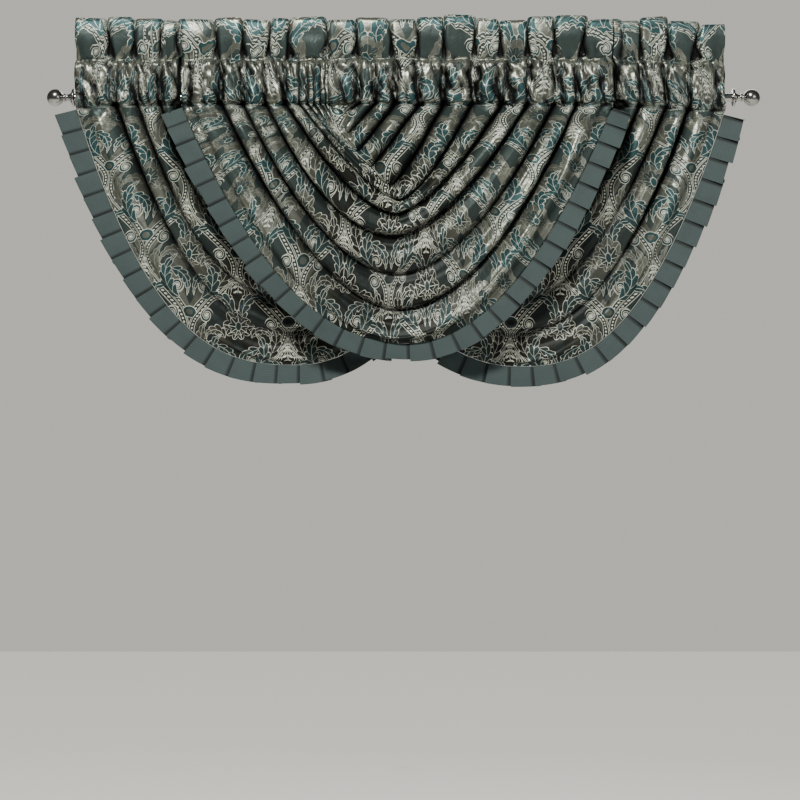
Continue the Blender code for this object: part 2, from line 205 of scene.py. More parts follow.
# %% Lines of the folds
def seam_z(x):
    return np.interp(x, LEVEL_X, SEAM_Z)


def pocket_top_z(x):
    return np.interp(x, LEVEL_X, POCKET_TOP_Z)


def shifted(fold, valance):
    """The same fold on another valance of the row."""
    moved = dict(fold)
    for key in ("left_x", "right_x", "left_gap", "right_gap"):
        if fold[key] is not None:
            moved[key] = fold[key] + valance["top_shift"]
    moved["bottom_x"] = fold["bottom_x"] + valance["bottom_shift"]
    moved["bottom_z"] = fold["bottom_z"] + valance["drop_shift"]
    if valance["open_side"] < 0:
        moved["left_power"] = fold["left_power"] * valance["fullness"]
    if valance["open_side"] > 0:
        moved["right_power"] = fold["right_power"] * valance["fullness"]
    if fold["name"] == "gather":
        moved["bottom_x"] = fold["bottom_x"] + valance["top_shift"]
        moved["bottom_z"] = float(seam_z(moved["bottom_x"]))
    return moved


def folds_of(valance):
    if valance["name"] == "centre":
        return [shifted(fold, valance) for fold in FOLDS]
    first = [fold["name"] for fold in FOLDS].index("swag_5")
    return [shifted(SIDE_GATHER, valance)] + [shifted(fold, valance) for fold in FOLDS[first:]]


def leg(anchor_x, bottom_x, bottom_z, power, shares):
    """Points down one leg of a U, shares running from 0 at the seam to 1 at the bottom."""
    fine = np.linspace(1.0, 0.0, 120)
    x = bottom_x + (anchor_x - bottom_x) * fine
    z = bottom_z + (seam_z(anchor_x) - bottom_z) * fine**power
    run = running(np.hypot(np.diff(x), np.diff(z)))
    along = np.asarray(shares) * run[-1]
    return np.stack([np.interp(along, run, x), np.interp(along, run, z)], axis=1), run[-1]


def curve(fold, shares):
    """Points of a fold in x and z, shares 0 at its left end, 0.5 at its bottom and 1 at its right."""
    shares = np.asarray(shares, dtype=float)
    left, left_length = leg(
        fold["left_x"], fold["bottom_x"], fold["bottom_z"], fold["left_power"], np.clip(shares * 2, 0, 1)
    )
    right, right_length = leg(
        fold["right_x"], fold["bottom_x"], fold["bottom_z"], fold["right_power"],
        np.clip(2 - shares * 2, 0, 1),
    )
    return np.where((shares < 0.5)[:, None], left, right), left_length, right_length


def length_of(fold):
    return sum(curve(fold, [0.0])[1:])


for fold in FOLDS:
    print(fold["name"], "runs", round(length_of(fold)), "mm round its U")

# %% [markdown]
# ## How far the cloth stands forward
# Seen from the front a fold is a soft roll with a sharp valley below it. The roll is built from a
# rounded profile, and then leaned downwards so that it overhangs its valley, which is what puts
# the dark line under each real fold. The side valances pass under the centre one, where they are
# pressed flatter.

# %% Relief and depth
CENTRE_ROLL = 33.0
SIDE_ROLL = 28.0
VALLEY_SINK = 5.0
SEAM_RELIEF = 0.64
RELIEF_RUN = 42.0
ROUNDNESS = 1.75
FULLNESS = 0.82
OVERHANG = 0.34
LEG_OVERHANG = 0.2
GROOVE = 0.34
GROOVE_WIDTH = 6.0
BOTTOM_EASE = 0.34
BOTTOM_GROOVE = 0.8
HEM_EASE = 0.75
UNEVEN = 0.28
POCKET_WRINKLE = 13.0
SCALLOP = 4.0
SCALLOP_RUN = 14.0
SEAM_WANDER = 2.5
CRINKLE_WIDTH = 15.0
BILLOW_GAIN, BILLOW_POWER = 2.1, 0.85


def roll(inner, outer, share):
    """Height of the roll between two folds: 1 on a fold's ridge and 0 in the valley."""
    drop = inner["drop"]
    start = GATHER_RELIEF if inner["name"] == "gather" else 1.0
    end = HEM_RELIEF if outer["name"] == "hem" else 1.0
    falling = start * np.clip(1.0 - (share / drop) ** ROUNDNESS, 0.0, 1.0) ** FULLNESS
    left = np.clip(1.0 - (share - drop) / (1.0 - drop), 0.0, 1.0)
    rising = end * (1.0 - left**ROUNDNESS) ** FULLNESS
    rolled = np.where(share < drop, falling, rising)
    return mix(rolled, mix(start, end, smooth(share)), HEM_EASE if outer["name"] == "hem" else 0.0)


def groove(inner, share, reach):
    """The narrow cut at the very bottom of a valley."""
    depth = GROOVE * (1.0 - HEM_EASE) if inner["name"] == "swag_1" else GROOVE
    return depth * np.exp(-(((share - inner["drop"]) * reach / GROOVE_WIDTH) ** 2))


def tucked(fold, shares):
    """The inner folds' left legs tuck behind the next swag: small at the top, then lost in its cloth."""
    if fold["name"].startswith("inner") or fold["name"] == "gather":
        top = TUCK_TOP * (1.0 - smooth(shares / TUCK_TOP_RUN))
        return np.clip(top + smooth((shares - TUCK_END) / TUCK_RUN), 0.0, 1.0)
    return np.ones_like(shares)


def hem_side_x(z, side):
    """Where the centre valance's hem is at height z, on its left (-1) or right (1) side."""
    hem = FOLDS[-1]
    anchor, power = (
        (hem["left_x"], hem["left_power"]) if side < 0 else (hem["right_x"], hem["right_power"])
    )
    rise = np.clip((z - hem["bottom_z"]) / (seam_z(anchor) - hem["bottom_z"]), 0.0, 1.0)
    return hem["bottom_x"] + (anchor - hem["bottom_x"]) * rise ** (1.0 / power)


def covered(valance, x, z):
    """How far a point of a side valance is under the centre one: 0 in the open, 1 well under."""
    if valance["name"] == "centre":
        return np.zeros_like(x)
    inside = (hem_side_x(z, valance["open_side"]) - x) * valance["open_side"]
    under = smooth((inside - COVER_START) / (COVER_END - COVER_START))
    return np.where(z > FOLDS[-1]["bottom_z"], under, 0.0)


def laid_behind(valance, x):
    """0 where the heading is threaded on the rod, 1 where it lies flat behind the rod."""
    past = (valance["panel_end"] - x) * valance["open_side"] / valance["bend"]
    return smooth(past + 1.0) if valance["open_side"] else np.zeros_like(x)


def has_panel(valance, x):
    """Whether the pocket's front panel passes in front of the rod at x."""
    return (x - valance["panel_end"]) * valance["open_side"] >= 0


def forward(valance, x, z, relief):
    """How far in front of the rod's axis the cloth's middle lies below the pocket seam."""
    drop = np.maximum(seam_z(x) - z, 0.0)
    seam = LAYER_GAP / 2 - laid_behind(valance, x) * valance["behind"]
    if valance["name"] == "centre":
        bulge = CENTRE_BULGE * smooth(drop / BULGE_DROP) * (1 - (x / BULGE_HALF_WIDTH) ** 2)
        level = mix(seam, CENTRE_DEPTH, smooth(drop / CENTRE_BUILD_UP)) + bulge
    else:
        end = mix(SIDE_DEPTH, valance["covered_depth"], covered(valance, x, z))
        level = mix(seam, end, smooth(drop / SIDE_BUILD_UP))
    return level + roll_height(valance, x, z, relief)


def roll_height(valance, x, z, relief):
    """What the rolls add to the depth. They stand up at the seam already and are full a little below."""
    drop = np.maximum(seam_z(x) - z, 0.0)
    under = np.maximum(covered(valance, x, z), laid_behind(valance, x))
    formed = mix(SEAM_RELIEF, 1.0, smooth(drop / RELIEF_RUN))
    height = CENTRE_ROLL if valance["name"] == "centre" else SIDE_ROLL
    seen = (height * relief - VALLEY_SINK) * formed
    hidden = COVERED_RELIEF * smooth(drop / SIDE_RELIEF_BUILD_UP) * relief
    return mix(seen, hidden, under)


def billow(value):
    """Noise as full rolls with sharp valleys where it crosses zero."""
    return np.minimum(np.abs(value) * BILLOW_GAIN, 1.0) ** BILLOW_POWER


def crinkle(x, z):
    """The tight crinkles of cloth pushed together on the rod, 0 in their valleys to about 1."""
    wide = billow(noise(x / CRINKLE_WIDTH + 0.014 * z, z / 62.0 + 0.013 * x, 21))
    slanted = billow(noise((x + 0.45 * z) / 13.0, (z - 0.3 * x) / 34.0, 26))
    fine = billow(noise(x / 8.5, z / 20.0, 22))
    return 0.40 * wide + 0.36 * slanted + 0.24 * fine


def sag(x, relief, away):
    """How far the lower seam dips between its gathers, fading out away from the seam."""
    dip = SCALLOP * np.clip(relief, 0.0, 1.0) + SEAM_WANDER * noise(x / CRINKLE_WIDTH, 1.5, 43)
    return dip * np.exp(-away / SCALLOP_RUN)


print("height of a roll:", np.round(roll(FOLDS[6], FOLDS[7], np.linspace(0, 1, 9)), 2))

# %% [markdown]
# ## The heading
# A slice of the heading is one loop: up the back of the pocket, up to the header's edge, over it,
# and down the front past the pocket to the seam. The header stands in boxy puffs with tight
# clefts between them, and the pocket is crinkled where it is pushed together on the rod. Slices
# are drawn through fourteen points and smoothed, and all the slices together are the heading.

# %% Slices of the heading
PANEL_START = 9
SECTION_STEPS = (1, 2, 3, 3, 4, 3, 7, 5, 3, 4, 9, 6, 5)
PUFF_NARROWING = 0.30
POCKET_SWELL = 6.0
POCKET_ROLL = 8.0
PUFF_BOXINESS = 12
CORNER_DROP = 4.0
HEADER_WRINKLE = 3.2
TOP_WANDER = 5.0
SIDE_WANDER = 1.8
HEADER_BEND = 5.0
LOW_FROM = -5.0
PUFF_TILT = 1.6
CORNER_SHARPNESS = 10
SEAM_CLEARANCE = 3.0
BELOW_PUFF, OVER_PINCH, UNDER_PINCH = 0.62, 9.0, 12.0


def puff(x):
    """Where x lies across its puff, -1 to 1, with the puff's number."""
    index = np.clip(np.searchsorted(CLEFT_X, x, side="right") - 1, 0, len(PUFF_TOP_Z) - 1)
    across = (x - CLEFT_X[index]) / (CLEFT_X[index + 1] - CLEFT_X[index])
    return 2.0 * np.clip(across, 0.0, 1.0) - 1.0, index


def header_places(valance):
    """Pairs that carry an x on the pocket seam to its x in the header, so valleys meet clefts."""
    folds = folds_of(valance)
    pairs = [(folds[-1]["left_x"], folds[-1]["left_x"]), (folds[-1]["right_x"], folds[-1]["right_x"])]
    for inner, outer in zip(folds, folds[1:-1]):
        for side in ("left", "right"):
            valley = mix(inner[side + "_x"], outer[side + "_x"], inner["drop"])
            pairs.append((valley, inner[side + "_gap"]))
    return np.array(sorted(pairs))


def heading(valance, x, relief):
    """The heading's middle surface: points by section step, column and xyz."""
    pairs = header_places(valance)
    header_x = np.interp(x, pairs[:, 0], pairs[:, 1])
    low_behind = laid_behind(valance, x)
    behind = laid_behind(dict(valance, bend=HEADER_BEND), x)
    across, index = puff(header_x)
    stand = (1.0 - np.abs(across) ** PUFF_BOXINESS) * (1.0 - behind)
    tilt = np.random.default_rng(11).uniform(-PUFF_TILT, PUFF_TILT, len(PUFF_TOP_Z))[index]
    top = PUFF_TOP_Z[index] + tilt * across - CORNER_DROP * np.abs(across) ** CORNER_SHARPNESS
    seam, pocket_top = seam_z(x), pocket_top_z(x)
    radius = POCKET_RADIUS + POCKET_CRINKLE * relief
    half = LAYER_GAP / 2
    low = radius * math.sin(math.radians(LOW_TURN))
    low_z = -radius * math.cos(math.radians(LOW_TURN))
    low_z = low_z + np.minimum(seam + POCKET_RADIUS + SEAM_CLEARANCE, 0.0)
    shift, low_shift = behind * valance["behind"], low_behind * valance["behind"]
    panel = has_panel(valance, x)
    swell = POCKET_ROLL * np.clip(relief, 0.0, 1.0) * (1.0 - behind)
    front_side = np.where(panel, radius + swell, half - shift)
    front_low = np.where(panel, mix(low + swell, half - low_shift, low_behind), half - low_shift)
    seam_roll = roll_height(valance, x, seam, relief)
    pinch_x, middle_x = mix(x, header_x, PINCH_SHARE), mix(x, header_x, MIDDLE_SHARE)
    middle_z = mix(pocket_top, top, 0.5)
    centre_x = (CLEFT_X[index] + CLEFT_X[index + 1]) / 2
    narrowing = PUFF_NARROWING * np.random.default_rng(12).uniform(0.25, 1.15, len(PUFF_TOP_Z))[index]
    low_x = mix(mix(x, header_x, 0.55), centre_x, narrowing * (1.0 - behind))
    slices = (
        (x, low_shift + half, seam + half),
        (x, mix(low, low_shift + half, low_behind), low_z),
        (x, mix(radius, shift + half, behind), SIDE_HEIGHT + 0 * x),
        (pinch_x, shift + half, pocket_top),
        (middle_x, shift + half + PUFF_BACK * stand, middle_z),
        (header_x, shift + half + PUFF_AT_TOP * PUFF_BACK * stand, top),
        (header_x, shift - half - PUFF_AT_TOP * PUFF_FRONT * stand, top + FRONT_EDGE_RISE),
        (middle_x, shift - half - PUFF_FRONT * stand, middle_z),
        (low_x, shift - half - BELOW_PUFF * PUFF_FRONT * stand, pocket_top + OVER_PINCH),
        (pinch_x, shift - half - PINCH_STAND * stand, pocket_top),
        (x, shift - half - POCKET_SWELL * (1.0 - behind) - 0.8 * swell, pocket_top - UNDER_PINCH),
        (x, -front_side, SIDE_HEIGHT + 0 * x),
        (x, -front_low, low_z),
        (x, low_shift - half - seam_roll, seam),
    )
    points = through(np.array([np.stack(point, axis=1) for point in slices]), SECTION_STEPS)
    behind = np.where(points[:, :, 2] > LOW_FROM, behind, low_behind)
    return wrinkled_heading(points, x, relief, behind, panel)


def wrinkled_heading(points, x, relief, behind, panel):
    """Adds the crinkles of the pocket and the soft dents of the header, on the front only."""
    marks = np.cumsum((0,) + SECTION_STEPS)
    step = np.arange(len(points))[:, None]
    top, seam = pocket_top_z(x), seam_z(x)
    across, z = points[:, :, 0].copy(), points[:, :, 2].copy()
    above = z > top
    threaded = np.where(above, 1.0, panel) * (1.0 - behind) * smooth((step - marks[7]) / SECTION_STEPS[7])
    from_top, from_seam = np.abs(z - top), np.abs(z - seam)
    inside_pocket = 1.0 - 0.6 * np.exp(-((from_top / 5.0) ** 2)) - 0.25 * np.exp(-((from_seam / 4.0) ** 2))
    share = np.where(above, 0.4 * np.exp(-from_top / 15.0), inside_pocket)
    points[:, :, 1] -= POCKET_WRINKLE * crinkle(across, z) * share * threaded
    sway = SIDE_WANDER * noise(across / CRINKLE_WIDTH, z / 22.0, 23)
    points[:, :, 0] += sway * np.where(above, 0.3, 1.0) * threaded
    points[:, :, 2] += TOP_WANDER * noise(across / 16.0, 2.5, 44) * np.exp(-from_top / 9.0) * threaded
    points[:, :, 2] -= sag(x, relief, from_seam) * threaded
    header = np.sin(np.pi * np.clip((step - marks[6]) / (marks[9] - marks[6]), 0, 1)) * (1 - behind)
    gathers = np.exp(-np.clip(z - top, 0, None) / 20.0)
    dent = noise(across / 24.0, z / 30.0, 24) * 0.8 + noise(across / 8.0, z / 40.0, 25) * gathers
    points[:, :, 1] -= HEADER_WRINKLE * header * dent
    return points


print("one slice of a heading:", sum(SECTION_STEPS) + 1, "points")

# %% [markdown]
# ## The whole sheet
# Rows of the swag have unlike point counts, because the inner U's are short and the outer ones
# long. Two neighbouring rows are zipped together with triangles, which keeps the faces even. The
# cloth's own flat coordinates are worked out on the way: each step over the surface adds its true
# length to the flat pattern, so that the damask runs into a fold and out again as woven cloth does.

# %% Fine rows of the swag
STREAK = 1.5
BOTTOM_STREAK = 1.6
GATHER_WRINKLE = 2.0
GATHER_RUN = 55.0
MIDDLE_X = -12.0
HIDDEN_CLOTH = 5.0
CREASE_SHADE_HEIGHT = 1.05
CREASE_HEIGHT = 9.5
STEP_BACK = 23.0
EVEN_STEPS = 7
EVEN_CLIMB = 0.85
ROLL_SAMPLES = 200
FEWEST_STEPS = 5
LEAN_RUN, STREAK_RUN, SEAM_CRINKLE_RUN = 50.0, 60.0, 26.0
SEAM_CRINKLE = 0.75
LEAST_LENGTH = 1e-6


def fine_rows(valance):
    """Every row of the swag: its shares, places in x and z, relief and outward directions."""
    folds = folds_of(valance)
    made = []
    for number, (inner, outer) in enumerate(zip(folds, folds[1:])):
        reach = max(
            abs(outer["left_x"] - inner["left_x"]), abs(outer["right_x"] - inner["right_x"]),
            math.hypot(outer["bottom_x"] - inner["bottom_x"], outer["bottom_z"] - inner["bottom_z"]),
        )
        ways = np.linspace(0.0, 1.0, ROLL_SAMPLES)
        heights = roll(inner, outer, ways) - groove(inner, ways, reach)
        run = running(np.hypot(np.diff(ways) * reach, np.diff(heights) * CENTRE_RELIEF))
        steps = max(FEWEST_STEPS, round(run[-1] / ROW_SPACING))
        last = number == len(folds) - 2
        for step in range(steps + (1 if last else 0)):
            share = float(np.interp(step / steps, run / run[-1], ways))
            length = mix(length_of(inner), length_of(outer), share)
            shares = np.linspace(0.0, 1.0, max(FEWEST_POINTS, round(length / POINT_SPACING) | 1))
            start, end = curve(inner, shares)[0], curve(outer, shares)[0]
            places = mix(start, end, share)
            places[0, 1], places[-1, 1] = seam_z(places[0, 0]), seam_z(places[-1, 0])
            if number == 0 and step == 0:
                places[:, 1] = seam_z(places[:, 0])
            outward = end - start
            outward /= np.maximum(np.linalg.norm(outward, axis=1), LEAST_LENGTH)[:, None]
            to_hem = 1.0 - share if last else 1.0
            down = np.clip(-outward[:, 1], 0.0, 1.0) ** 2 * to_hem
            keep = mix(tucked(inner, shares), tucked(outer, shares), smooth(share))
            cut = groove(inner, share, reach) * (1.0 - BOTTOM_GROOVE * down)
            uneven = noise(shares * length / 150.0, (number + share) * 0.8, 34) * smooth(to_hem * 3.0)
            height = roll(inner, outer, share) * (1.0 - BOTTOM_EASE * down) * (1.0 + UNEVEN * uneven)
            relief = mix(TUCKED_LEVEL, height - cut, keep)
            made.append(dict(
                shares=shares, places=places, relief=relief, outward=outward, keep=keep, down=down,
                to_hem=to_hem,
            ))
    return made


def surface_of_row(row, valance, across):
    """Points in space of one row: the rolls lean over, and fine creases run along them."""
    x, z = row["places"][:, 0], row["places"][:, 1]
    drop = np.maximum(seam_z(x) - z, 0.0)
    under = covered(valance, x, z)
    amount = roll_height(valance, x, z, row["relief"])
    lean = mix(LEG_OVERHANG, 1.0, row["down"]) * OVERHANG * amount * row["to_hem"]
    lean = lean * (1 - under) * smooth(drop / LEAN_RUN)
    ahead = forward(valance, x, z, row["relief"])
    length = row["shares"] * len(row["shares"]) * POINT_SPACING
    streaks = noise(length / 170.0, across / 13.0, 31) + 0.5 * noise(length / 90.0, across / 7.0, 32)
    streak = (STREAK + BOTTOM_STREAK * row["down"]) * streaks
    ahead = ahead + streak * smooth(drop / STREAK_RUN) * row["to_hem"] * (1 - under)
    gathers = noise(x / 9.0, drop / 45.0 + 3.0, 33) * np.exp(-((drop / GATHER_RUN) ** 2))
    ahead = ahead + GATHER_WRINKLE * (gathers * smooth(drop / 10.0)) * (1 - under)
    loose = (1 - under) * (1 - laid_behind(valance, x))
    fading = np.exp(-((drop / SEAM_CRINKLE_RUN) ** 2))
    ahead = ahead + SEAM_CRINKLE * POCKET_WRINKLE * crinkle(x, z) * fading * loose
    dip = sag(x, row["relief"], drop) * loose
    out_x, out_z = row["outward"].T
    return np.stack([x + out_x * lean, -ahead, z + out_z * lean - dip], axis=1)


rows = fine_rows(VALANCES[0])
print("centre swag:", len(rows), "rows,", sum(len(row["shares"]) for row in rows), "points")

# %% Meshes, objects and thickness
def smooth_mesh(bm, name):
    """The finished mesh of a bmesh, with its faces outwards and smooth."""
    bmesh.ops.recalc_face_normals(bm, faces=bm.faces)
    for face in bm.faces:
        face.smooth = True
    mesh = bpy.data.meshes.new(name)
    bm.to_mesh(mesh)
    bm.free()
    return mesh


def linked(name, data):
    made = bpy.data.objects.new(name, data)
    bpy.context.scene.collection.objects.link(made)
    return made


def thicken(sheet, thickness):
    """Gives a sheet its thickness, half of it to each side."""
    solid = sheet.modifiers.new("cloth", "SOLIDIFY")
    solid.thickness, solid.offset = thickness * MM, 0.0
    return sheet


print("cloth is", CLOTH, "mm thick")

# %% Build one valance
HOLLOW_REACH = 4
FRONT_SHARE = 0.35


def zip_rows(bm, upper, lower):
    """Triangles between two rows of unlike point counts."""
    (upper_shares, upper_verts), (lower_shares, lower_verts) = upper, lower
    i = j = 0
    while i < len(upper_verts) - 1 or j < len(lower_verts) - 1:
        take_upper = j == len(lower_verts) - 1 or (
            i < len(upper_verts) - 1 and upper_shares[i + 1] <= lower_shares[j + 1]
        )
        corner = upper_verts[i + 1] if take_upper else lower_verts[j + 1]
        bm.faces.new([upper_verts[i], lower_verts[j], corner])
        if take_upper:
            i += 1
        else:
            j += 1


def flat_steps(before, after, climb):
    """Steps on the flat cloth: in the direction seen from the front, as long as the fully formed roll."""
    seen = after - before
    length = np.linalg.norm(seen, axis=1)
    return seen * (np.hypot(length, climb) / np.maximum(length, LEAST_LENGTH))[:, None]


def heading_hollows(points, x):
    """How far a point of the heading lies back from the points beside it: deep in a cleft or crinkle. It
    is painted as shade in the creases and counts as hidden cloth in the flat pattern.
    """
    ahead = -points[:, :, 1]
    padded = np.pad(ahead, ((0, 0), (HOLLOW_REACH, HOLLOW_REACH)), mode="edge")
    shifts = range(2 * HOLLOW_REACH + 1)
    drop = np.max([padded[:, shift : shift + len(x)] for shift in shifts], axis=0) - ahead
    crease = np.clip(drop / CREASE_HEIGHT, 0.0, 1.0)
    crease = crease * np.clip((STEP_BACK - drop) / CREASE_HEIGHT, 0.0, 1.0)
    return crease * (np.arange(len(points))[:, None] > len(points) * FRONT_SHARE)


def swag_flats(rows, middle):
    """Flat coordinates of the swag, from the gather outwards."""
    flats = [rows[0]["places"] - (middle, 0.0)]
    for last, row in zip(rows, rows[1:]):
        known = np.column_stack([last["places"], flats[-1], last["relief"]])
        known = np.stack([np.interp(row["shares"], last["shares"], values) for values in known.T], 1)
        before, flat, relief = known[:, :2], known[:, 2:4], known[:, 4]
        climb = SIDE_ROLL * np.abs(row["relief"] - relief)
        climb = mix(climb, climb.mean(), EVEN_CLIMB)
        flats.append(flat + flat_steps(before, row["places"], climb))
    return flats


def heading_flats(points, crease_depth_and_shade, left, right):
    """Flat coordinates of the heading, up from the seam, whose ends are at left and right."""
    flat = np.zeros(points.shape[:2] + (2,))
    rise = np.cumsum(np.linalg.norm(np.diff(points, axis=0), axis=2), axis=0)
    rise = np.concatenate([np.zeros((1, points.shape[1])), rise])
    steps = np.linalg.norm(np.diff(points, axis=1), axis=2) * (1.0 + HIDDEN_CLOTH * crease_depth_and_shade[:, 1:])
    padded = np.pad(steps, ((EVEN_STEPS, EVEN_STEPS), (0, 0)), mode="edge")
    for step in range(len(points)):
        run = running(padded[step : step + 2 * EVEN_STEPS + 1].mean(axis=0))
        flat[step, :, 0] = left + (right - left) * run / run[-1]
        flat[step, :, 1] = rise[-1] - rise[step]
    return flat


def cloth_sheet(name, valance):
    rows = fine_rows(valance)
    surfaces = [surface_of_row(row, valance, number * ROW_SPACING) for number, row in enumerate(rows)]

    stations = [(row["places"][0, 0], row["relief"][0]) for row in reversed(rows)]
    stations += [(x, GATHER_RELIEF) for x in rows[0]["places"][1:-1, 0]]
    stations += [(row["places"][-1, 0], row["relief"][-1]) for row in rows]
    x, relief = np.array(stations).T
    points = heading(valance, x, relief)
    # How deep each point lies in a crease: painted as shade, and also hidden cloth in the flat pattern.
    crease_depth_and_shade = heading_hollows(points, x)

    flats = swag_flats(rows, MIDDLE_X + valance["bottom_shift"])
    heading_flat = heading_flats(points, crease_depth_and_shade, flats[-1][0, 0], flats[-1][-1, 0])

    bm = bmesh.new()
    flat_layer = bm.verts.layers.float_vector.new("flat")

    def add(place, flat, crease_shade):
        vert = bm.verts.new([value * MM for value in place])
        vert[flat_layer] = (flat[0] * MM, flat[1] * MM, crease_shade)
        return vert

    grid = [
        [add(points[step, n], heading_flat[step, n], crease_depth_and_shade[step, n]) for step in range(len(points))]
        for n in range(len(x))
    ]
    panels = has_panel(valance, x) if valance["open_side"] else np.ones(len(x), bool)
    panel_step = sum(SECTION_STEPS[:PANEL_START])
    for place, (left, right) in enumerate(zip(grid, grid[1:])):
        crossing = panels[place] != panels[place + 1]
        for step in range(len(left) - 1):
            if not (crossing and step >= panel_step):
                bm.faces.new([left[step], left[step + 1], right[step + 1], right[step]])

    seam = [column[-1] for column in grid]
    count = len(rows)
    lines = []
    for number, (row, surface) in enumerate(zip(rows, surfaces)):
        if number == 0:
            lines.append((row["shares"], seam[count - 1 : len(seam) - count + 1]))
            continue
        under = 1.0 - covered(valance, row["places"][:, 0], row["places"][:, 1])
        # Painted shade in the swag's valleys: 1 deep in a valley, fading up its walls, weaker on the
        # bottom's rolls.
        crease_shade = np.clip(1.0 - (row["relief"] + GROOVE) / CREASE_SHADE_HEIGHT, 0.0, 1.0)
        crease_shade = (crease_shade * (1.0 - 0.6 * row["down"])) ** 0.75 * row["keep"] * under * row["to_hem"]
        inner = [
            add(place, flat, deep)
            for place, flat, deep in zip(surface[1:-1], flats[number][1:-1], crease_shade[1:-1])
        ]
        lines.append((row["shares"], [seam[count - 1 - number], *inner, seam[len(seam) - count + number]]))
    for upper, lower in zip(lines, lines[1:]):
        zip_rows(bm, upper, lower)
    mesh = smooth_mesh(bm, name)
    flat = np.zeros(len(mesh.vertices) * 3, np.float32)
    mesh.attributes["flat"].data.foreach_get("vector", flat)
    loops = np.zeros(len(mesh.loops), np.int32)
    mesh.loops.foreach_get("vertex_index", loops)
    # The painted crease shade is kept on the points for the damask material.
    mesh.attributes.new("crease_shade", "FLOAT", "POINT").data.foreach_set("value", flat[2::3].copy())
    layer = mesh.uv_layers.new(name="flat_uv")
    layer.uv.foreach_set("vector", flat.reshape(-1, 3)[loops, :2].ravel())
    mesh.attributes.remove(mesh.attributes["flat"])
    return thicken(linked(name, mesh), CLOTH)


cloths = {}
for valance in VALANCES:
    cloths[valance["name"]] = cloth_sheet("cloth_" + valance["name"], valance)
    mesh = cloths[valance["name"]].data
    mesh.calc_loop_triangles()
    print(valance["name"], "cloth:", len(mesh.loop_triangles), "triangles before its thickness")

# %% [markdown]
# ## The ruffles
# A ruffle is a strip of plain cloth pressed into knife pleats: each panel starts at a raised edge
# and ends tucked under the next one. Modelling thirty pleats by hand would be slow and too even.
# Geometry Nodes fold one flat grid along the hem instead: the node tree turns a place on the strip
# into a place along the path and a height above it, with a small random change for each pleat.

# %% A small writer for node trees
class Tree:
    """Adds nodes to a tree: settings first, then values or links for its sockets."""

    def __init__(self, tree):
        self.tree = tree

    def add(self, kind, settings=None, **sockets):
        node = self.tree.nodes.new(kind)
        for key, value in (settings or {}).items():
            setattr(node, key, value)
        for key, value in sockets.items():
            self.feed(node, key, value)
        return node

    def feed(self, node, key, value):
        numbered = key[0] == "n" and key[1:].isdigit()
        socket = node.inputs[int(key[1:]) if numbered else key.replace("_", " ")]
        if isinstance(value, bpy.types.NodeSocket):
            self.tree.links.new(value, socket)
        elif isinstance(value, Value):
            self.tree.links.new(value.socket, socket)
        else:
            socket.default_value = value


class Value:
    """A number in a node tree, so that formulas can be written as Python expressions."""

    def __init__(self, tree, socket):
        self.tree = tree
        self.socket = socket

    def math(self, operation, *others, clamp=False):
        node = self.tree.add("ShaderNodeMath", {"operation": operation, "use_clamp": clamp})
        for index, value in enumerate((self, *others)):
            self.tree.feed(node, "n" + str(index), value)
        return Value(self.tree, node.outputs[0])

    def __add__(self, other):
        return self.math("ADD", other)

    __radd__ = __add__

    def __sub__(self, other):
        return self.math("SUBTRACT", other)

    def __rsub__(self, other):
        return self.math("MULTIPLY_ADD", -1.0, other)

    def __mul__(self, other):
        return self.math("MULTIPLY", other)

    __rmul__ = __mul__

    def __truediv__(self, other):
        return self.math("DIVIDE", other)

    def __rtruediv__(self, other):
        return self.math("POWER", -1.0) * other

    def __pow__(self, other):
        return self.math("POWER", other)

    def __neg__(self):
        return self.math("MULTIPLY", -1.0)


print("node writer ready")

# %% The pleating tree
RUFFLE_WIDTH = 44.0
RUFFLE_GAP = 1.1
RUFFLE_INSET = 7.0
PLEAT = 42.0
PLEAT_RISE = 8.0
SEWN_RISE = 1.2
PLEAT_TUCK = 0.24
PLEAT_STEP = 5.2
SIDE_LEAN = 14.0
COVERED_RISE = 0.6
PANEL_COLUMNS = 7
RETURN_COLUMNS = 2
RUFFLE_ROWS = 8
RUFFLE_CLOTH = 0.8
FIRST_SEED = 5
PLEAT_CUT = PLEAT * (1 + 2 * PLEAT_TUCK)
PLEAT_INPUTS = (
    ("Path", "Geometry", None), ("Pleats", "Int", 30), ("Width", "Float", RUFFLE_WIDTH * MM),
    ("Sewn gap", "Float", RUFFLE_GAP * MM), ("Rise", "Float", PLEAT_RISE * MM),
    ("Sewn rise", "Float", SEWN_RISE * MM), ("Tuck", "Float", PLEAT_TUCK),
    ("Edge step", "Float", PLEAT_STEP * MM), ("Seed", "Int", FIRST_SEED), ("Material", "Material", None),
)


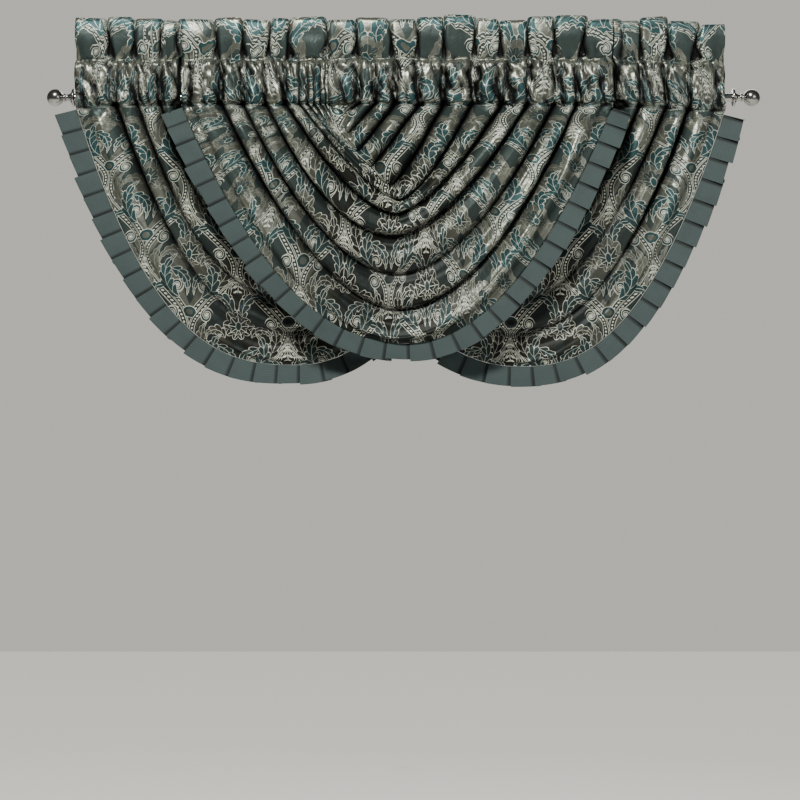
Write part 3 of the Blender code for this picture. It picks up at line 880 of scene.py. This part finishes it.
def pleating_tree():
    tree = bpy.data.node_groups.new("knife_pleats", "GeometryNodeTree")
    tree.interface.new_socket(name="Geometry", in_out="OUTPUT", socket_type="NodeSocketGeometry")
    names = {}
    for name, kind, default in PLEAT_INPUTS:
        socket = tree.interface.new_socket(name=name, in_out="INPUT", socket_type="NodeSocket" + kind)
        if default is not None:
            socket.default_value = default
        names[name] = socket.identifier
    t = Tree(tree)
    given = t.add("NodeGroupInput").outputs
    columns = PANEL_COLUMNS + RETURN_COLUMNS
    pleats, width, gap, rise, sewn, tuck, edge = (
        Value(t, given[name])
        for name in ("Pleats", "Width", "Sewn gap", "Rise", "Sewn rise", "Tuck", "Edge step")
    )
    grid = t.add(
        "GeometryNodeMeshGrid", Size_X=1.0, Size_Y=1.0, Vertices_X=pleats * columns + 1,
        Vertices_Y=RUFFLE_ROWS + 1,
    )
    place = t.add("ShaderNodeSeparateXYZ", Vector=t.add("GeometryNodeInputPosition").outputs[0])
    strip = (Value(t, place.outputs["X"]) + 0.5) * pleats
    out = Value(t, place.outputs["Y"]) + 0.5
    pleat = (strip + 0.001).math("FLOOR").math("MINIMUM", pleats - 1)
    phase = strip - pleat
    turn = PANEL_COLUMNS / columns
    panel = (phase / turn).math("MINIMUM", 1.0)
    back = ((phase - turn) / (1.0 - turn)).math("MAXIMUM", 0.0)
    along = panel * (tuck + 1) - back * tuck
    height = 1 - panel + back

    def random(low, high, offset):
        seed = Value(t, given["Seed"]) + offset
        node = t.add("FunctionNodeRandomValue", {"data_type": "FLOAT"}, ID=pleat, Seed=seed)
        node.inputs[2].default_value, node.inputs[3].default_value = low, high
        return Value(t, node.outputs[1])

    factor = ((pleat + along) / pleats).math("MINIMUM", 1.0)
    path = t.add("GeometryNodeMeshToCurve", Mesh=given["Path"]).outputs[0]

    def sample(attribute):
        named = t.add("GeometryNodeInputNamedAttribute", {"data_type": "FLOAT"}, Name=attribute)
        return t.add(
            "GeometryNodeSampleCurve", {"mode": "FACTOR", "data_type": "FLOAT"},
            Curves=path, Factor=factor, Value=named.outputs[0],
        )

    lean = sample("lean")
    under = Value(t, sample("under").outputs[0])
    way = t.add("ShaderNodeSeparateXYZ", Vector=lean.outputs["Tangent"])
    out_x, out_z = Value(t, way.outputs["Z"]), -Value(t, way.outputs["X"])
    size = (out_x * out_x + out_z * out_z).math("SQRT").math("MAXIMUM", 1e-6)
    out_x, out_z = out_x / size, out_z / size
    long = width + edge * (height - 0.5) + edge * random(-0.6, 0.6, 1)
    away = gap + out * (long - gap)
    lift = (sewn + out * (rise * random(0.75, 1.15, 2) - sewn)) * height * (1 - under * (1 - COVERED_RISE))
    angle = Value(t, lean.outputs[0])
    cosine, sine = angle.math("COSINE"), angle.math("SINE")
    reach = away * cosine - lift * sine
    ahead = away * sine + lift * cosine
    start = t.add("ShaderNodeSeparateXYZ", Vector=lean.outputs["Position"])
    new_place = t.add(
        "ShaderNodeCombineXYZ",
        X=Value(t, start.outputs["X"]) + out_x * reach,
        Y=Value(t, start.outputs["Y"]) - ahead,
        Z=Value(t, start.outputs["Z"]) + out_z * reach,
    )
    flat = t.add("ShaderNodeCombineXYZ", X=strip * (PLEAT_CUT * MM), Y=out * width)
    stored = t.add(
        "GeometryNodeStoreNamedAttribute", {"data_type": "FLOAT2", "domain": "CORNER"},
        Geometry=grid.outputs["Mesh"], Name="flat_uv", Value=flat.outputs[0],
    )
    placed = t.add("GeometryNodeSetPosition", Geometry=stored.outputs[0], Position=new_place.outputs[0])
    real = t.add("GeometryNodeRealizeInstances", Geometry=placed.outputs[0])
    finish = t.add("GeometryNodeSetMaterial", Geometry=real.outputs[0], Material=given["Material"])
    end = t.add("NodeGroupOutput")
    tree.links.new(finish.outputs[0], end.inputs[0])
    return tree, names


pleats_tree, pleats_inputs = pleating_tree()
print("pleating tree:", len(pleats_tree.nodes), "nodes, inputs", list(pleats_inputs))

# %% Hem paths and ruffles
PATH_STEPS = 400
TANGENT_STEP = 1e-3


def path_object(name, points, attributes):
    """A line of edges with numbers at its points, for a node tree to follow."""
    mesh = bpy.data.meshes.new(name)
    mesh.from_pydata([tuple(point) for point in points], [(i, i + 1) for i in range(len(points) - 1)], [])
    for key, values in attributes.items():
        layer = mesh.attributes.new(key, "FLOAT", "POINT")
        layer.data.foreach_set("value", np.asarray(values, np.float32))
    return linked(name, mesh)


def made_by_nodes(path, name, tree, inputs, values):
    """Runs a node tree on a path and keeps the result as a plain mesh."""
    modifier = path.modifiers.new("nodes", "NODES")
    modifier.node_group = tree
    for key, value in values.items():
        modifier[inputs[key]] = value
    graph = bpy.context.evaluated_depsgraph_get()
    mesh = bpy.data.meshes.new_from_object(path.evaluated_get(graph))
    mesh.name = name
    bpy.data.objects.remove(path)
    return linked(name, mesh)


def hem_path(valance):
    """The hem line in space between the ruffle's ends, with its lean and how far it is covered."""
    hem = folds_of(valance)[-1]
    _, left_length, right_length = curve(hem, [0.0])
    total = left_length + right_length
    along = np.linspace(RUFFLE_INSET, total - RUFFLE_INSET, PATH_STEPS)
    shares = np.where(
        along < left_length, 0.5 * along / left_length, 0.5 + 0.5 * (along - left_length) / right_length
    )
    places = curve(hem, shares)[0]
    ahead, behind = (curve(hem, np.clip(shares + step, 0, 1))[0] for step in (TANGENT_STEP, -TANGENT_STEP))
    tangent = ahead - behind
    tangent /= np.linalg.norm(tangent, axis=1)[:, None]
    depth = forward(valance, places[:, 0], places[:, 1], HEM_RELIEF)
    under = covered(valance, places[:, 0], places[:, 1])
    lean = mix(SIDE_LEAN, valance["ruffle_lean"], np.abs(tangent[:, 0]) ** 2) * (1 - under)
    points = np.stack([places[:, 0], -depth, places[:, 1]], axis=1) * MM
    return points, np.radians(lean), under, total - 2 * RUFFLE_INSET


ruffle_cloth = bpy.data.materials.new("plain_slate_cloth")
ruffles, ruffle_cuts = {}, {}
for number, valance in enumerate(VALANCES):
    points, lean, under, sewn = hem_path(valance)
    count = round(sewn / PLEAT)
    path = path_object("hem_path", points, {"lean": lean, "under": under})
    values = {"Pleats": count, "Seed": FIRST_SEED + 10 * number, "Material": ruffle_cloth}
    ruffle = made_by_nodes(path, "pleats_" + valance["name"], pleats_tree, pleats_inputs, values)
    ruffles[valance["name"]] = thicken(ruffle, RUFFLE_CLOTH)
    ruffle_cuts[valance["name"]] = (sewn * (1 + 2 * PLEAT_TUCK) * MM, RUFFLE_WIDTH * MM)
    print(ruffle.name, "has", count, "pleats and", len(ruffle.data.polygons), "faces")

# %% Finials: finely turned copies of the plain ones
ROD_LENGTH = 1260.0
FINIAL_GAP = 0.3
CUP_RADIUS, CUP_RIM, CUP_LENGTH = 17.0, 4.0, 14.0
RIM_BEAD, RIM_STEP, RIM_LIP = 1.4, 1.9, 0.5
NECK_RADIUS, NECK_LENGTH, KNOB_RADIUS = 6.0, 8.0, 16.0
RING_FOOT, RING_LENGTH, RING_SIZE = 0.4, 2.2, (1.6, 1.8)
TURNED_STEPS = 64


def arc(radius, out, size, turns):
    """Points of a turned profile round the place (radius, out), by angles in degrees."""
    return [
        (radius + size[0] * math.cos(turn), out + size[1] * math.sin(turn)) for turn in np.radians(turns)
    ]


def finial_profile():
    """Radius and distance out from the rod's end: rim bead, cup, ringed neck and knob."""
    half_circle = np.linspace(-90, 90, 9)
    cup, lip = CUP_RADIUS - RIM_STEP, CUP_RIM + RIM_LIP
    ring, neck_end = CUP_LENGTH + NECK_LENGTH / 2, CUP_LENGTH + NECK_LENGTH
    sunk = math.sqrt(KNOB_RADIUS**2 - NECK_RADIUS**2)
    start = math.degrees(math.asin(NECK_RADIUS / KNOB_RADIUS))
    knob = arc(0.0, neck_end + sunk, (KNOB_RADIUS, KNOB_RADIUS), np.linspace(start, 180, 32) - 90)
    return [
        (0.0, 0.0), (CUP_RADIUS - RIM_BEAD, 0.0),
        *arc(CUP_RADIUS - RIM_BEAD, CUP_RIM / 2, (RIM_BEAD, CUP_RIM / 2), half_circle),
        (cup, lip),
        *arc(cup, CUP_LENGTH, (cup - NECK_RADIUS, CUP_LENGTH - lip), 270 - np.linspace(0, 90, 14)[1:]),
        (NECK_RADIUS, ring - RING_LENGTH),
        *arc(NECK_RADIUS + RING_FOOT, ring, RING_SIZE, half_circle),
        (NECK_RADIUS, ring + RING_LENGTH),
        *knob[:-1], (0.0, knob[-1][1]),
    ]


def turned(name, side):
    bm = bmesh.new()
    start = side * (ROD_LENGTH / 2 + FINIAL_GAP)
    verts = [
        bm.verts.new(((start + side * out) * MM, 0.0, radius * MM)) for radius, out in finial_profile()
    ]
    edges = [bm.edges.new(pair) for pair in zip(verts, verts[1:])]
    bmesh.ops.spin(
        bm, geom=verts + edges, axis=(1, 0, 0), cent=(0, 0, 0), angle=2 * math.pi, steps=TURNED_STEPS,
        use_merge=True,
    )
    bmesh.ops.remove_doubles(bm, verts=bm.verts, dist=0.00001)
    return linked(name, smooth_mesh(bm, name))


finials = {"left": turned("turned_finial_left", -1), "right": turned("turned_finial_right", 1)}
print("finials:", [len(finial.data.polygons) for finial in finials.values()], "faces")

# %% [markdown]
# ## The damask
# The valances are a jacquard damask: satin areas in silver taupe and slate, teal leaves, and cream
# threads that outline every motif. A picture could carry such a pattern, but formulas stay sharp
# at any distance. Each motif is a distance: negative inside, positive outside, so one comparison
# fills it and another draws its outline. A leaf is a bent band whose width is scalloped, a volute
# is a spiral, a flower is a circle whose radius swings with the angle. The layout is a plain ogee
# repeat, mirrored and half-dropped, as in many traditional damasks.

# %% Motifs as distances, in millimetres on the flat cloth
TILE_WIDTH = 310.0
TILE_HEIGHT = 420.0
SOFT = 0.6
OUTLINE = 0.75


def distance(x, y):
    return (x * x).math("ADD", y * y).math("SQRT")


def inside(edge):
    """1 inside a shape and 0 outside it, softened over half a millimetre."""
    return edge.math("MULTIPLY_ADD", -1.0 / SOFT, 0.5, clamp=True)


def line(edge, half_width):
    return inside(edge.math("ABSOLUTE") - half_width)


def either(*edges):
    joined = edges[0]
    for edge in edges[1:]:
        joined = joined.math("MINIMUM", edge)
    return joined


def leaf(x, y, middle, radius, start, sweep, width, lobes):
    """A lobed leaf bent along an arc: its edge and its veins, both as distances."""
    rib = distance(x - middle[0], y - middle[1]) - radius
    turns = (y - middle[1]).math("ARCTAN2", x - middle[0])
    way = math.copysign(1.0, sweep)
    turns = turns.math("MULTIPLY_ADD", way * 0.5 / math.pi, -way * start / 360.0)
    along = turns.math("FRACT") * (360.0 / abs(sweep))
    beside = rib.math("ABSOLUTE")
    body = (along ** 0.7 * math.pi).math("SINE")
    lobe = along * lobes - beside * 0.045
    scallop = (lobe * math.pi).math("SINE").math("ABSOLUTE")
    edge = beside - body * (scallop * 0.40 + 0.60) * width
    edge = edge.math("MAXIMUM", along * 60.0 - 60.0)
    vein = (0.5 - (lobe.math("FRACT") - 0.5).math("ABSOLUTE")) * (180.0 / lobes) * 0.3
    return edge, either(beside, vein + 0.35).math("MAXIMUM", edge + 2.2)


def scroll(x, y, middle, radius, turn, mirror):
    """A volute: one spiral band that winds in to a small eye, as a distance."""
    dx, dy = (x - middle[0]) * mirror, y - middle[1]
    away = distance(dx, dy).math("MAXIMUM", 0.5)
    wind = dy.math("ARCTAN2", dx) * (0.5 / math.pi) - away.math("LOGARITHM", math.e) * 0.95
    wind = (wind + turn).math("FRACT")
    band = ((wind - 0.5).math("ABSOLUTE") - 0.26) * away * 1.3
    return band.math("MAXIMUM", away - radius)


def damask(u, v):
    """The damask at a place on the flat cloth, in millimetres: pairs of a yarn and its mask."""
    x = u.math("PINGPONG", TILE_WIDTH / 2)
    half = TILE_WIDTH / 4
    wave = (v * (2 * math.pi / TILE_HEIGHT)).math("COSINE") * half + half
    other = x.math("GREATER_THAN", wave)
    x = x + other * (x * -2.0 + TILE_WIDTH / 2)
    y = ((v / TILE_HEIGHT + other * 0.5 + 0.5).math("FRACT") - 0.5) * TILE_HEIGHT
    turn = y * (2 * math.pi / TILE_HEIGHT)
    wave = turn.math("COSINE") * half + half
    slope = turn.math("SINE") * (half * 2 * math.pi / TILE_HEIGHT)
    edge = (wave - x) / (slope * slope + 1.0).math("SQRT")

    band = (edge - 9.0).math("ABSOLUTE") - 7.0
    bead = distance(edge - 9.0, ((y * (1.0 / 9.0)).math("FRACT") - 0.5) * 8.0) - 2.5

    fy = y - 14.0
    away = distance(x, fy)
    angle = x.math("ARCTAN2", fy)
    petal = (angle * 4.5).math("COSINE").math("ABSOLUTE")
    reach = (petal ** 0.6 * 0.34 + 0.66) * (angle.math("COSINE") * 12.0 + 46.0)
    flower = away - reach
    inner = away - reach * 0.66
    ray = ((angle * 4.5).math("SINE").math("ABSOLUTE") * away * 0.22 - 0.8).math("MAXIMUM", flower + 3.0)
    core = distance(x * 1.5, fy - 3.0) - 13.0

    teal_leaves = [
        leaf(x, y, (14.0, -58.0), 66.0, -72.0, 128.0, 24.0, 6.0),
        leaf(x, y, (62.0, 72.0), 46.0, 215.0, -160.0, 17.0, 5.0),
        leaf(x, y, (70.0, -104.0), 60.0, 95.0, 95.0, 15.0, 5.0),
    ]
    silver_leaves = [
        leaf(x, y, (54.0, -18.0), 64.0, -56.0, 100.0, 19.0, 5.0),
        leaf(x, y, (70.0, -22.0), 30.0, 165.0, -170.0, 14.0, 5.0),
        leaf(x, y, (-24.0, 124.0), 52.0, -60.0, 100.0, 12.0, 4.0),
        leaf(x, y, (30.0, -128.0), 40.0, -30.0, 110.0, 13.0, 4.0),
    ]
    teal, teal_vein = (either(*edges) for edges in zip(*teal_leaves))
    silver, silver_vein = (either(*edges) for edges in zip(*silver_leaves))
    volute = either(
        scroll(x, y, (101.0, 44.0), 19.0, 0.15, 1.0),
        scroll(x, y, (44.0, -88.0), 20.0, 0.6, -1.0),
        scroll(x, y, (24.0, 100.0), 16.0, 0.3, 1.0),
        scroll(x, y, (104.0, -44.0), 15.0, 0.5, 1.0),
    )
    run = ((y - 150.0) * (1.0 / 15.0)).math("FRACT") * 15.0 - 7.5
    sprig = distance(x - 8.0 + run * 0.45, run * 1.5 + (x - 8.0) * 0.6) - 5.0
    sprig = either(sprig, x - 0.9).math("MAXIMUM", (y - 160.0).math("ABSOLUTE") - 34.0)
    bud = distance(x * 0.8, y + 160.0) - 17.0

    ground = (x * 0.045 + (y * 0.021).math("SINE") * 1.4 + 0.3).math("SINE") * 8.0

    def outlined(edge, *veins):
        return inside(either(edge.math("ABSOLUTE") - OUTLINE, *veins))

    return (
        ("slate", inside(ground)), ("slate", inside(band)), ("cream", line(band, OUTLINE)),
        ("cream", inside(bead)), ("teal", inside(volute)), ("cream", line(volute, 0.9)),
        ("taupe", inside(silver)), ("thin cream", outlined(silver, silver_vein - 0.55)),
        ("teal", inside(teal)), ("cream", outlined(teal, teal_vein - 0.55)),
        ("taupe", inside(flower)), ("slate", inside(inner)),
        ("thin cream", outlined(flower, inner.math("ABSOLUTE") - 0.8, ray)),
        ("teal", inside(core)), ("cream", line(core, OUTLINE)), ("cream", inside(sprig)),
        ("teal", inside(bud)), ("cream", line(bud, OUTLINE)), ("taupe", inside(bud + 8.0)),
    )


print("one repeat of the damask:", TILE_WIDTH, "by", TILE_HEIGHT, "before it is scaled")

# %% [markdown]
# ## Finishes
# Satin throws back light in a soft sheen that dies away quickly as the cloth turns, so the taupe
# areas are smoother and a little metallic, and the cream threads are rougher. The ruffle is a
# plain matt cloth with a faint rib. The rod and finials are polished pewter.

# %% Colours and the damask material
TAUPE = (0.238, 0.246, 0.203, 1.0)
# This near-black taupe and the slate one below are painted shade, for the lower middle of the swags and
# the header.
TAUPE_PAINTED_SHADE = (0.010, 0.010, 0.007, 1.0)
SLATE = (0.046, 0.065, 0.060, 1.0)
SLATE_PAINTED_SHADE = (0.012, 0.018, 0.016, 1.0)
TEAL = (0.028, 0.075, 0.080, 1.0)
CREAM = (0.71, 0.72, 0.61, 1.0)
# Near black, painted into creases and valleys as shade.
PAINTED_CREASE_SHADE = (0.002, 0.002, 0.002, 1.0)
PATTERN_SCALE = 1.32
PATTERN_RISE = 70.0
PEWTER = (0.42, 0.41, 0.39, 1.0)
PEWTER_STAIN = (0.20, 0.195, 0.18, 1.0)
WARP = 5.0
# Painted shade: from this height on the flat cloth the header's taupe is darkened a little.
HEADER_START = 100.0
HEADER_PAINTED_SHADE = 0.18
SHADE_DROP, SHADE_REACH = 150.0, 260.0
CREASE_SHADE_STRENGTH = 1.35
CREAM_LEVEL = 0.42
THREAD_SPACING = 0.9


def new_finish(name):
    """A material with an empty shader: the material, its tree and the shader's node."""
    finish = bpy.data.materials.get(name) or bpy.data.materials.new(name)
    finish.use_nodes = True
    finish.node_tree.nodes.clear()
    tree = Tree(finish.node_tree)
    shader = tree.add("ShaderNodeBsdfPrincipled")
    output = tree.add("ShaderNodeOutputMaterial")
    finish.node_tree.links.new(shader.outputs[0], output.inputs[0])
    return finish, tree, shader


def blend(tree, first, second, mask):
    """A mixed colour: the first where the mask is 0, the second where it is 1."""
    return tree.add("ShaderNodeMix", {"data_type": "RGBA"}, n0=mask, n6=first, n7=second).outputs[2]


def flat_place(tree, name):
    """The place on the flat cloth in millimetres, from the piece's own UV map."""
    node = tree.add("ShaderNodeUVMap", {"uv_map": name})
    parts = tree.add("ShaderNodeSeparateXYZ", Vector=node.outputs[0])
    return node.outputs[0], *(Value(tree, parts.outputs[axis]) / MM for axis in "XY")


def noise_value(tree, place, scale, detail=2.0):
    node = tree.add(
        "ShaderNodeTexNoise", {"noise_dimensions": "2D"}, Vector=place, Scale=scale, Detail=detail,
    )
    return Value(tree, node.outputs[0]), node.outputs["Color"]


def woven_bump(tree, shader, height, strength):
    bump = tree.add("ShaderNodeBump", Height=height, Strength=strength, Distance=MM)
    tree.feed(shader, "Normal", bump.outputs[0])


damask_finish, tree, shader = new_finish("satin_damask")
place, u, v = flat_place(tree, "flat_uv")
wander = tree.add("ShaderNodeSeparateXYZ", Vector=noise_value(tree, place, 9.0, 1.0)[1])
warp_u, warp_v = ((Value(tree, wander.outputs[axis]) - 0.5) * (2 * WARP) for axis in "XY")
layers = damask((u + warp_u) * PATTERN_SCALE, (v + warp_v + PATTERN_RISE) * PATTERN_SCALE)
# Painted shade: darker low in the swag and towards its middle, fading out to the sides.
low = (v * (-1.0 / SHADE_DROP) - 0.5).math("MULTIPLY", 1.0, clamp=True)
low = low * (1.5 - u.math("ABSOLUTE") / SHADE_REACH).math("MULTIPLY", 1.0, clamp=True)
# Painted shade on the header's taupe, full a little above where the header starts.
header = (v - HEADER_START).math("MULTIPLY", 0.06, clamp=True)
# Taupe, slate and teal take the painted shade low in the swag; taupe also a little in the header.
yarns = {
    "taupe": blend(tree, TAUPE, TAUPE_PAINTED_SHADE, low + header * HEADER_PAINTED_SHADE),
    "slate": blend(tree, SLATE, SLATE_PAINTED_SHADE, low),
    "teal": blend(tree, TEAL, SLATE_PAINTED_SHADE, low * 0.7),
    "cream": CREAM, "thin cream": CREAM,
}
colour = yarns["taupe"]
for yarn, mask in layers:
    mask = mask * (low * 0.6 + 0.4) if yarn == "thin cream" else mask
    colour = blend(tree, colour, yarns[yarn], mask)
# Painted shade: creases and valleys are darkened towards near black, and their metallic shine is cut by
# half.
crease_shade = Value(tree, tree.add("ShaderNodeAttribute", {"attribute_name": "crease_shade"}).outputs["Fac"])
shaded = blend(tree, colour, PAINTED_CREASE_SHADE, crease_shade.math("MULTIPLY", CREASE_SHADE_STRENGTH, clamp=True))
tree.feed(shader, "Base_Color", shaded)
brightness = Value(tree, tree.add("ShaderNodeRGBToBW", Color=colour).outputs[0])
satin = brightness.math("MULTIPLY_ADD", 3.0, 0.25, clamp=True)
satin = satin * (1.0 - brightness.math("GREATER_THAN", CREAM_LEVEL))
tree.feed(shader, "Roughness", 0.55 - satin * 0.25)
tree.feed(shader, "Metallic", satin * 0.82 * (1.0 - crease_shade * 0.5))
weave = ((u + v) * (2 * math.pi / THREAD_SPACING)).math("SINE") * 0.02
woven_bump(tree, shader, weave + noise_value(tree, place, 70.0)[0] * 1.6, 0.5)
for key, value in (("Sheen_Weight", 0.03), ("Specular_IOR_Level", 0.28), ("Sheen_Roughness", 0.4)):
    tree.feed(shader, key, value)
print("damask material:", len(damask_finish.node_tree.nodes), "nodes")

# %% The ruffle's cloth and the pewter
RIB_SPACING, RUFFLE_THREAD = 5.5, 0.8
# How dark the painted shade line is at each pleat's covered edge.
PLEAT_SHADE_STRENGTH = 0.96
RUFFLE_DARK, RUFFLE_LIGHT = (0.005, 0.008, 0.008, 1.0), (0.076, 0.114, 0.111, 1.0)
_, tree, shader = new_finish(ruffle_cloth.name)
place, u, v = flat_place(tree, "flat_uv")
phase = (u / PLEAT_CUT).math("FRACT")
tucked_in = (PANEL_COLUMNS / (PANEL_COLUMNS + RETURN_COLUMNS)) / (1 + PLEAT_TUCK)
# Painted shade: a dark line at each pleat where the next pleat covers it, darkening towards the ruffle's
# dark colour.
crease = (1.0 - (phase - tucked_in).math("ABSOLUTE") * 8.0).math("MULTIPLY", 2.0, clamp=True)
mottle, _ = noise_value(tree, place, 28.0, 3.0)
rib = (v * (2 * math.pi / RIB_SPACING) + mottle * 3.0).math("SINE")
pleat = (u / PLEAT_CUT).math("FLOOR")
tone = Value(tree, tree.add("ShaderNodeTexWhiteNoise", {"noise_dimensions": "1D"}, W=pleat).outputs[0])
shade = (mottle * 0.5 + rib * 0.05 + 0.66) * (1.0 - crease * PLEAT_SHADE_STRENGTH) + tone * 0.12
tree.feed(shader, "Base_Color", blend(tree, RUFFLE_DARK, RUFFLE_LIGHT, shade * 0.60))
tree.feed(shader, "Roughness", mottle * 0.12 + 0.72)
weave = ((u + v) * (2 * math.pi / RUFFLE_THREAD)).math("SINE") * 0.02
woven_bump(tree, shader, rib * 0.10 + weave + mottle * 0.3, 0.4)
tree.feed(shader, "Sheen_Weight", 0.12)

pewter_finish, tree, shader = new_finish("polished_pewter")
place = tree.add("ShaderNodeTexCoord").outputs["Object"]
stain = Value(tree, tree.add("ShaderNodeTexNoise", Vector=place, Scale=60.0, Detail=4.0).outputs[0])
stained = stain.math("MULTIPLY_ADD", 2.2, -0.9, clamp=True)
tree.feed(shader, "Base_Color", blend(tree, PEWTER, PEWTER_STAIN, stained))
tree.feed(shader, "Roughness", stain * 0.16 + 0.14)
tree.feed(shader, "Metallic", 1.0)
print("ruffle and pewter finishes done")

# %% [markdown]
# ## What each piece stands for
# Every fine piece takes the place of one solid, and how large each cloth was before it was gathered
# is worked out too. The photo can't show that. A cut of 49 by 35 inches is assumed, the same for all three
# valances, because they are alike. The heading lies double, so it counts twice, and below it the
# curved hem leaves only a share of the rectangle: n / (n + 1) under a curve of the power n.

# %% Every piece gets its finish and its body, and the solid it replaces is hidden
FLAT_CUT = (1.245, 0.889)
heading_cut = 2 * float(PUFF_TOP_Z.mean() - seam_z(0.0)) * MM
hem_share = sum(FOLDS[-1][key] / (FOLDS[-1][key] + 1) for key in ("left_power", "right_power")) / 2
FLAT_AREA = FLAT_CUT[0] * (heading_cut + (FLAT_CUT[1] - heading_cut) * hem_share)
print("flat area of each valance:", round(FLAT_AREA, 3), "square metres, its heading counted twice")
for name, cloth in cloths.items():
    cloth.data.materials.append(damask_finish)
    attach(cloth, "root")
    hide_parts("valance_" + name)
for name, ruffle in ruffles.items():
    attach(ruffle, "root")
    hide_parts("ruffle_" + name)
    "cloth_" + name
for name, finial in finials.items():
    finial.data.materials.append(pewter_finish)
    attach(finial, "root")
    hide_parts("finial_" + name)
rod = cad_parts["rod"]
rod.data.materials.clear()
rod.data.materials.append(pewter_finish)

# %% [markdown]
# ## Stage
# A soft key light from above, a little to the left, gives the folds their shadows, and weak lights
# fill them in. The camera looks straight on from far off, for the photo's flat view, and is placed
# so that the rod falls on its row of pixels.

# %% Stage, light and camera
PIXEL = 1.9
ROD_PIXEL_Y = 95
MIDDLE_PIXEL_X = 403.5
FRAME_PIXELS = 800
DISTANCE = 4.6
FLOOR_Z = -1.9
FLOOR_REACH = 8
CLOTH_FRONT = 0.04
SENSOR = 36.0


def area_light(name, place, target, size, power, colour):
    data = bpy.data.lights.new(name, "AREA")
    data.shape = "RECTANGLE"
    data.size, data.size_y = size
    data.energy = power
    data.color = colour
    lamp = linked(name, data)
    lamp.location = place
    way = np.array(target, float) - np.array(place, float)
    lamp.rotation_euler = Vector(way).to_track_quat("-Z", "Y").to_euler()


corners = [(FLOOR_REACH * x, FLOOR_REACH * y, FLOOR_Z) for x, y in ((-1, -1), (1, -1), (1, 1), (-1, 1))]
floor_mesh = bpy.data.meshes.new("floor")
floor_mesh.from_pydata(corners, [], [(0, 1, 2, 3)])
floor_finish, tree, shader = new_finish("floor")
tree.feed(shader, "Base_Color", (0.80, 0.79, 0.75, 1.0))
tree.feed(shader, "Roughness", 0.9)
floor_mesh.materials.append(floor_finish)
linked("floor", floor_mesh)

area_light("key", (-0.7, -2.8, 2.3), (0, 0, -0.2), (0.8, 0.7), 158, (0.99, 1.0, 0.95))
area_light("fill", (2.2, -2.6, 0.4), (0, 0, -0.2), (1.4, 1.2), 18, (0.95, 0.98, 1.0))
area_light("back_fill", (0.6, 3.0, 1.2), (0, 0, -0.2), (2.0, 1.6), 40, (1.0, 1.0, 1.0))
area_light("floor_light", (0.0, 4.0, -1.0), (0.0, 4.0, FLOOR_Z), (16.0, 14.0), 560, (1.0, 0.99, 0.95))

world = bpy.data.worlds.new("studio")
world.use_nodes = True
world.node_tree.nodes.clear()
tree = Tree(world.node_tree)
soft = tree.add("ShaderNodeBackground", Color=(0.80, 0.81, 0.82, 1.0), Strength=0.10)
pale = tree.add("ShaderNodeBackground", Color=(0.56, 0.55, 0.50, 1.0), Strength=1.0)
seen = tree.add("ShaderNodeLightPath").outputs["Is Camera Ray"]
both = tree.add("ShaderNodeMixShader", n0=seen, n1=soft.outputs[0], n2=pale.outputs[0])
world.node_tree.links.new(both.outputs[0], tree.add("ShaderNodeOutputWorld").inputs[0])
bpy.context.scene.world = world

camera_data = bpy.data.cameras.new("camera")
camera = linked("camera", camera_data)
half = FRAME_PIXELS / 2
camera.location = (
    (half - MIDDLE_PIXEL_X) * PIXEL * MM, -DISTANCE, (ROD_PIXEL_Y - half) * PIXEL * MM
)
camera.rotation_euler = (math.radians(90), 0, 0)
camera_data.sensor_width = SENSOR
camera_data.lens = SENSOR * (DISTANCE - CLOTH_FRONT) / (FRAME_PIXELS * PIXEL * MM)
bpy.context.scene.camera = camera
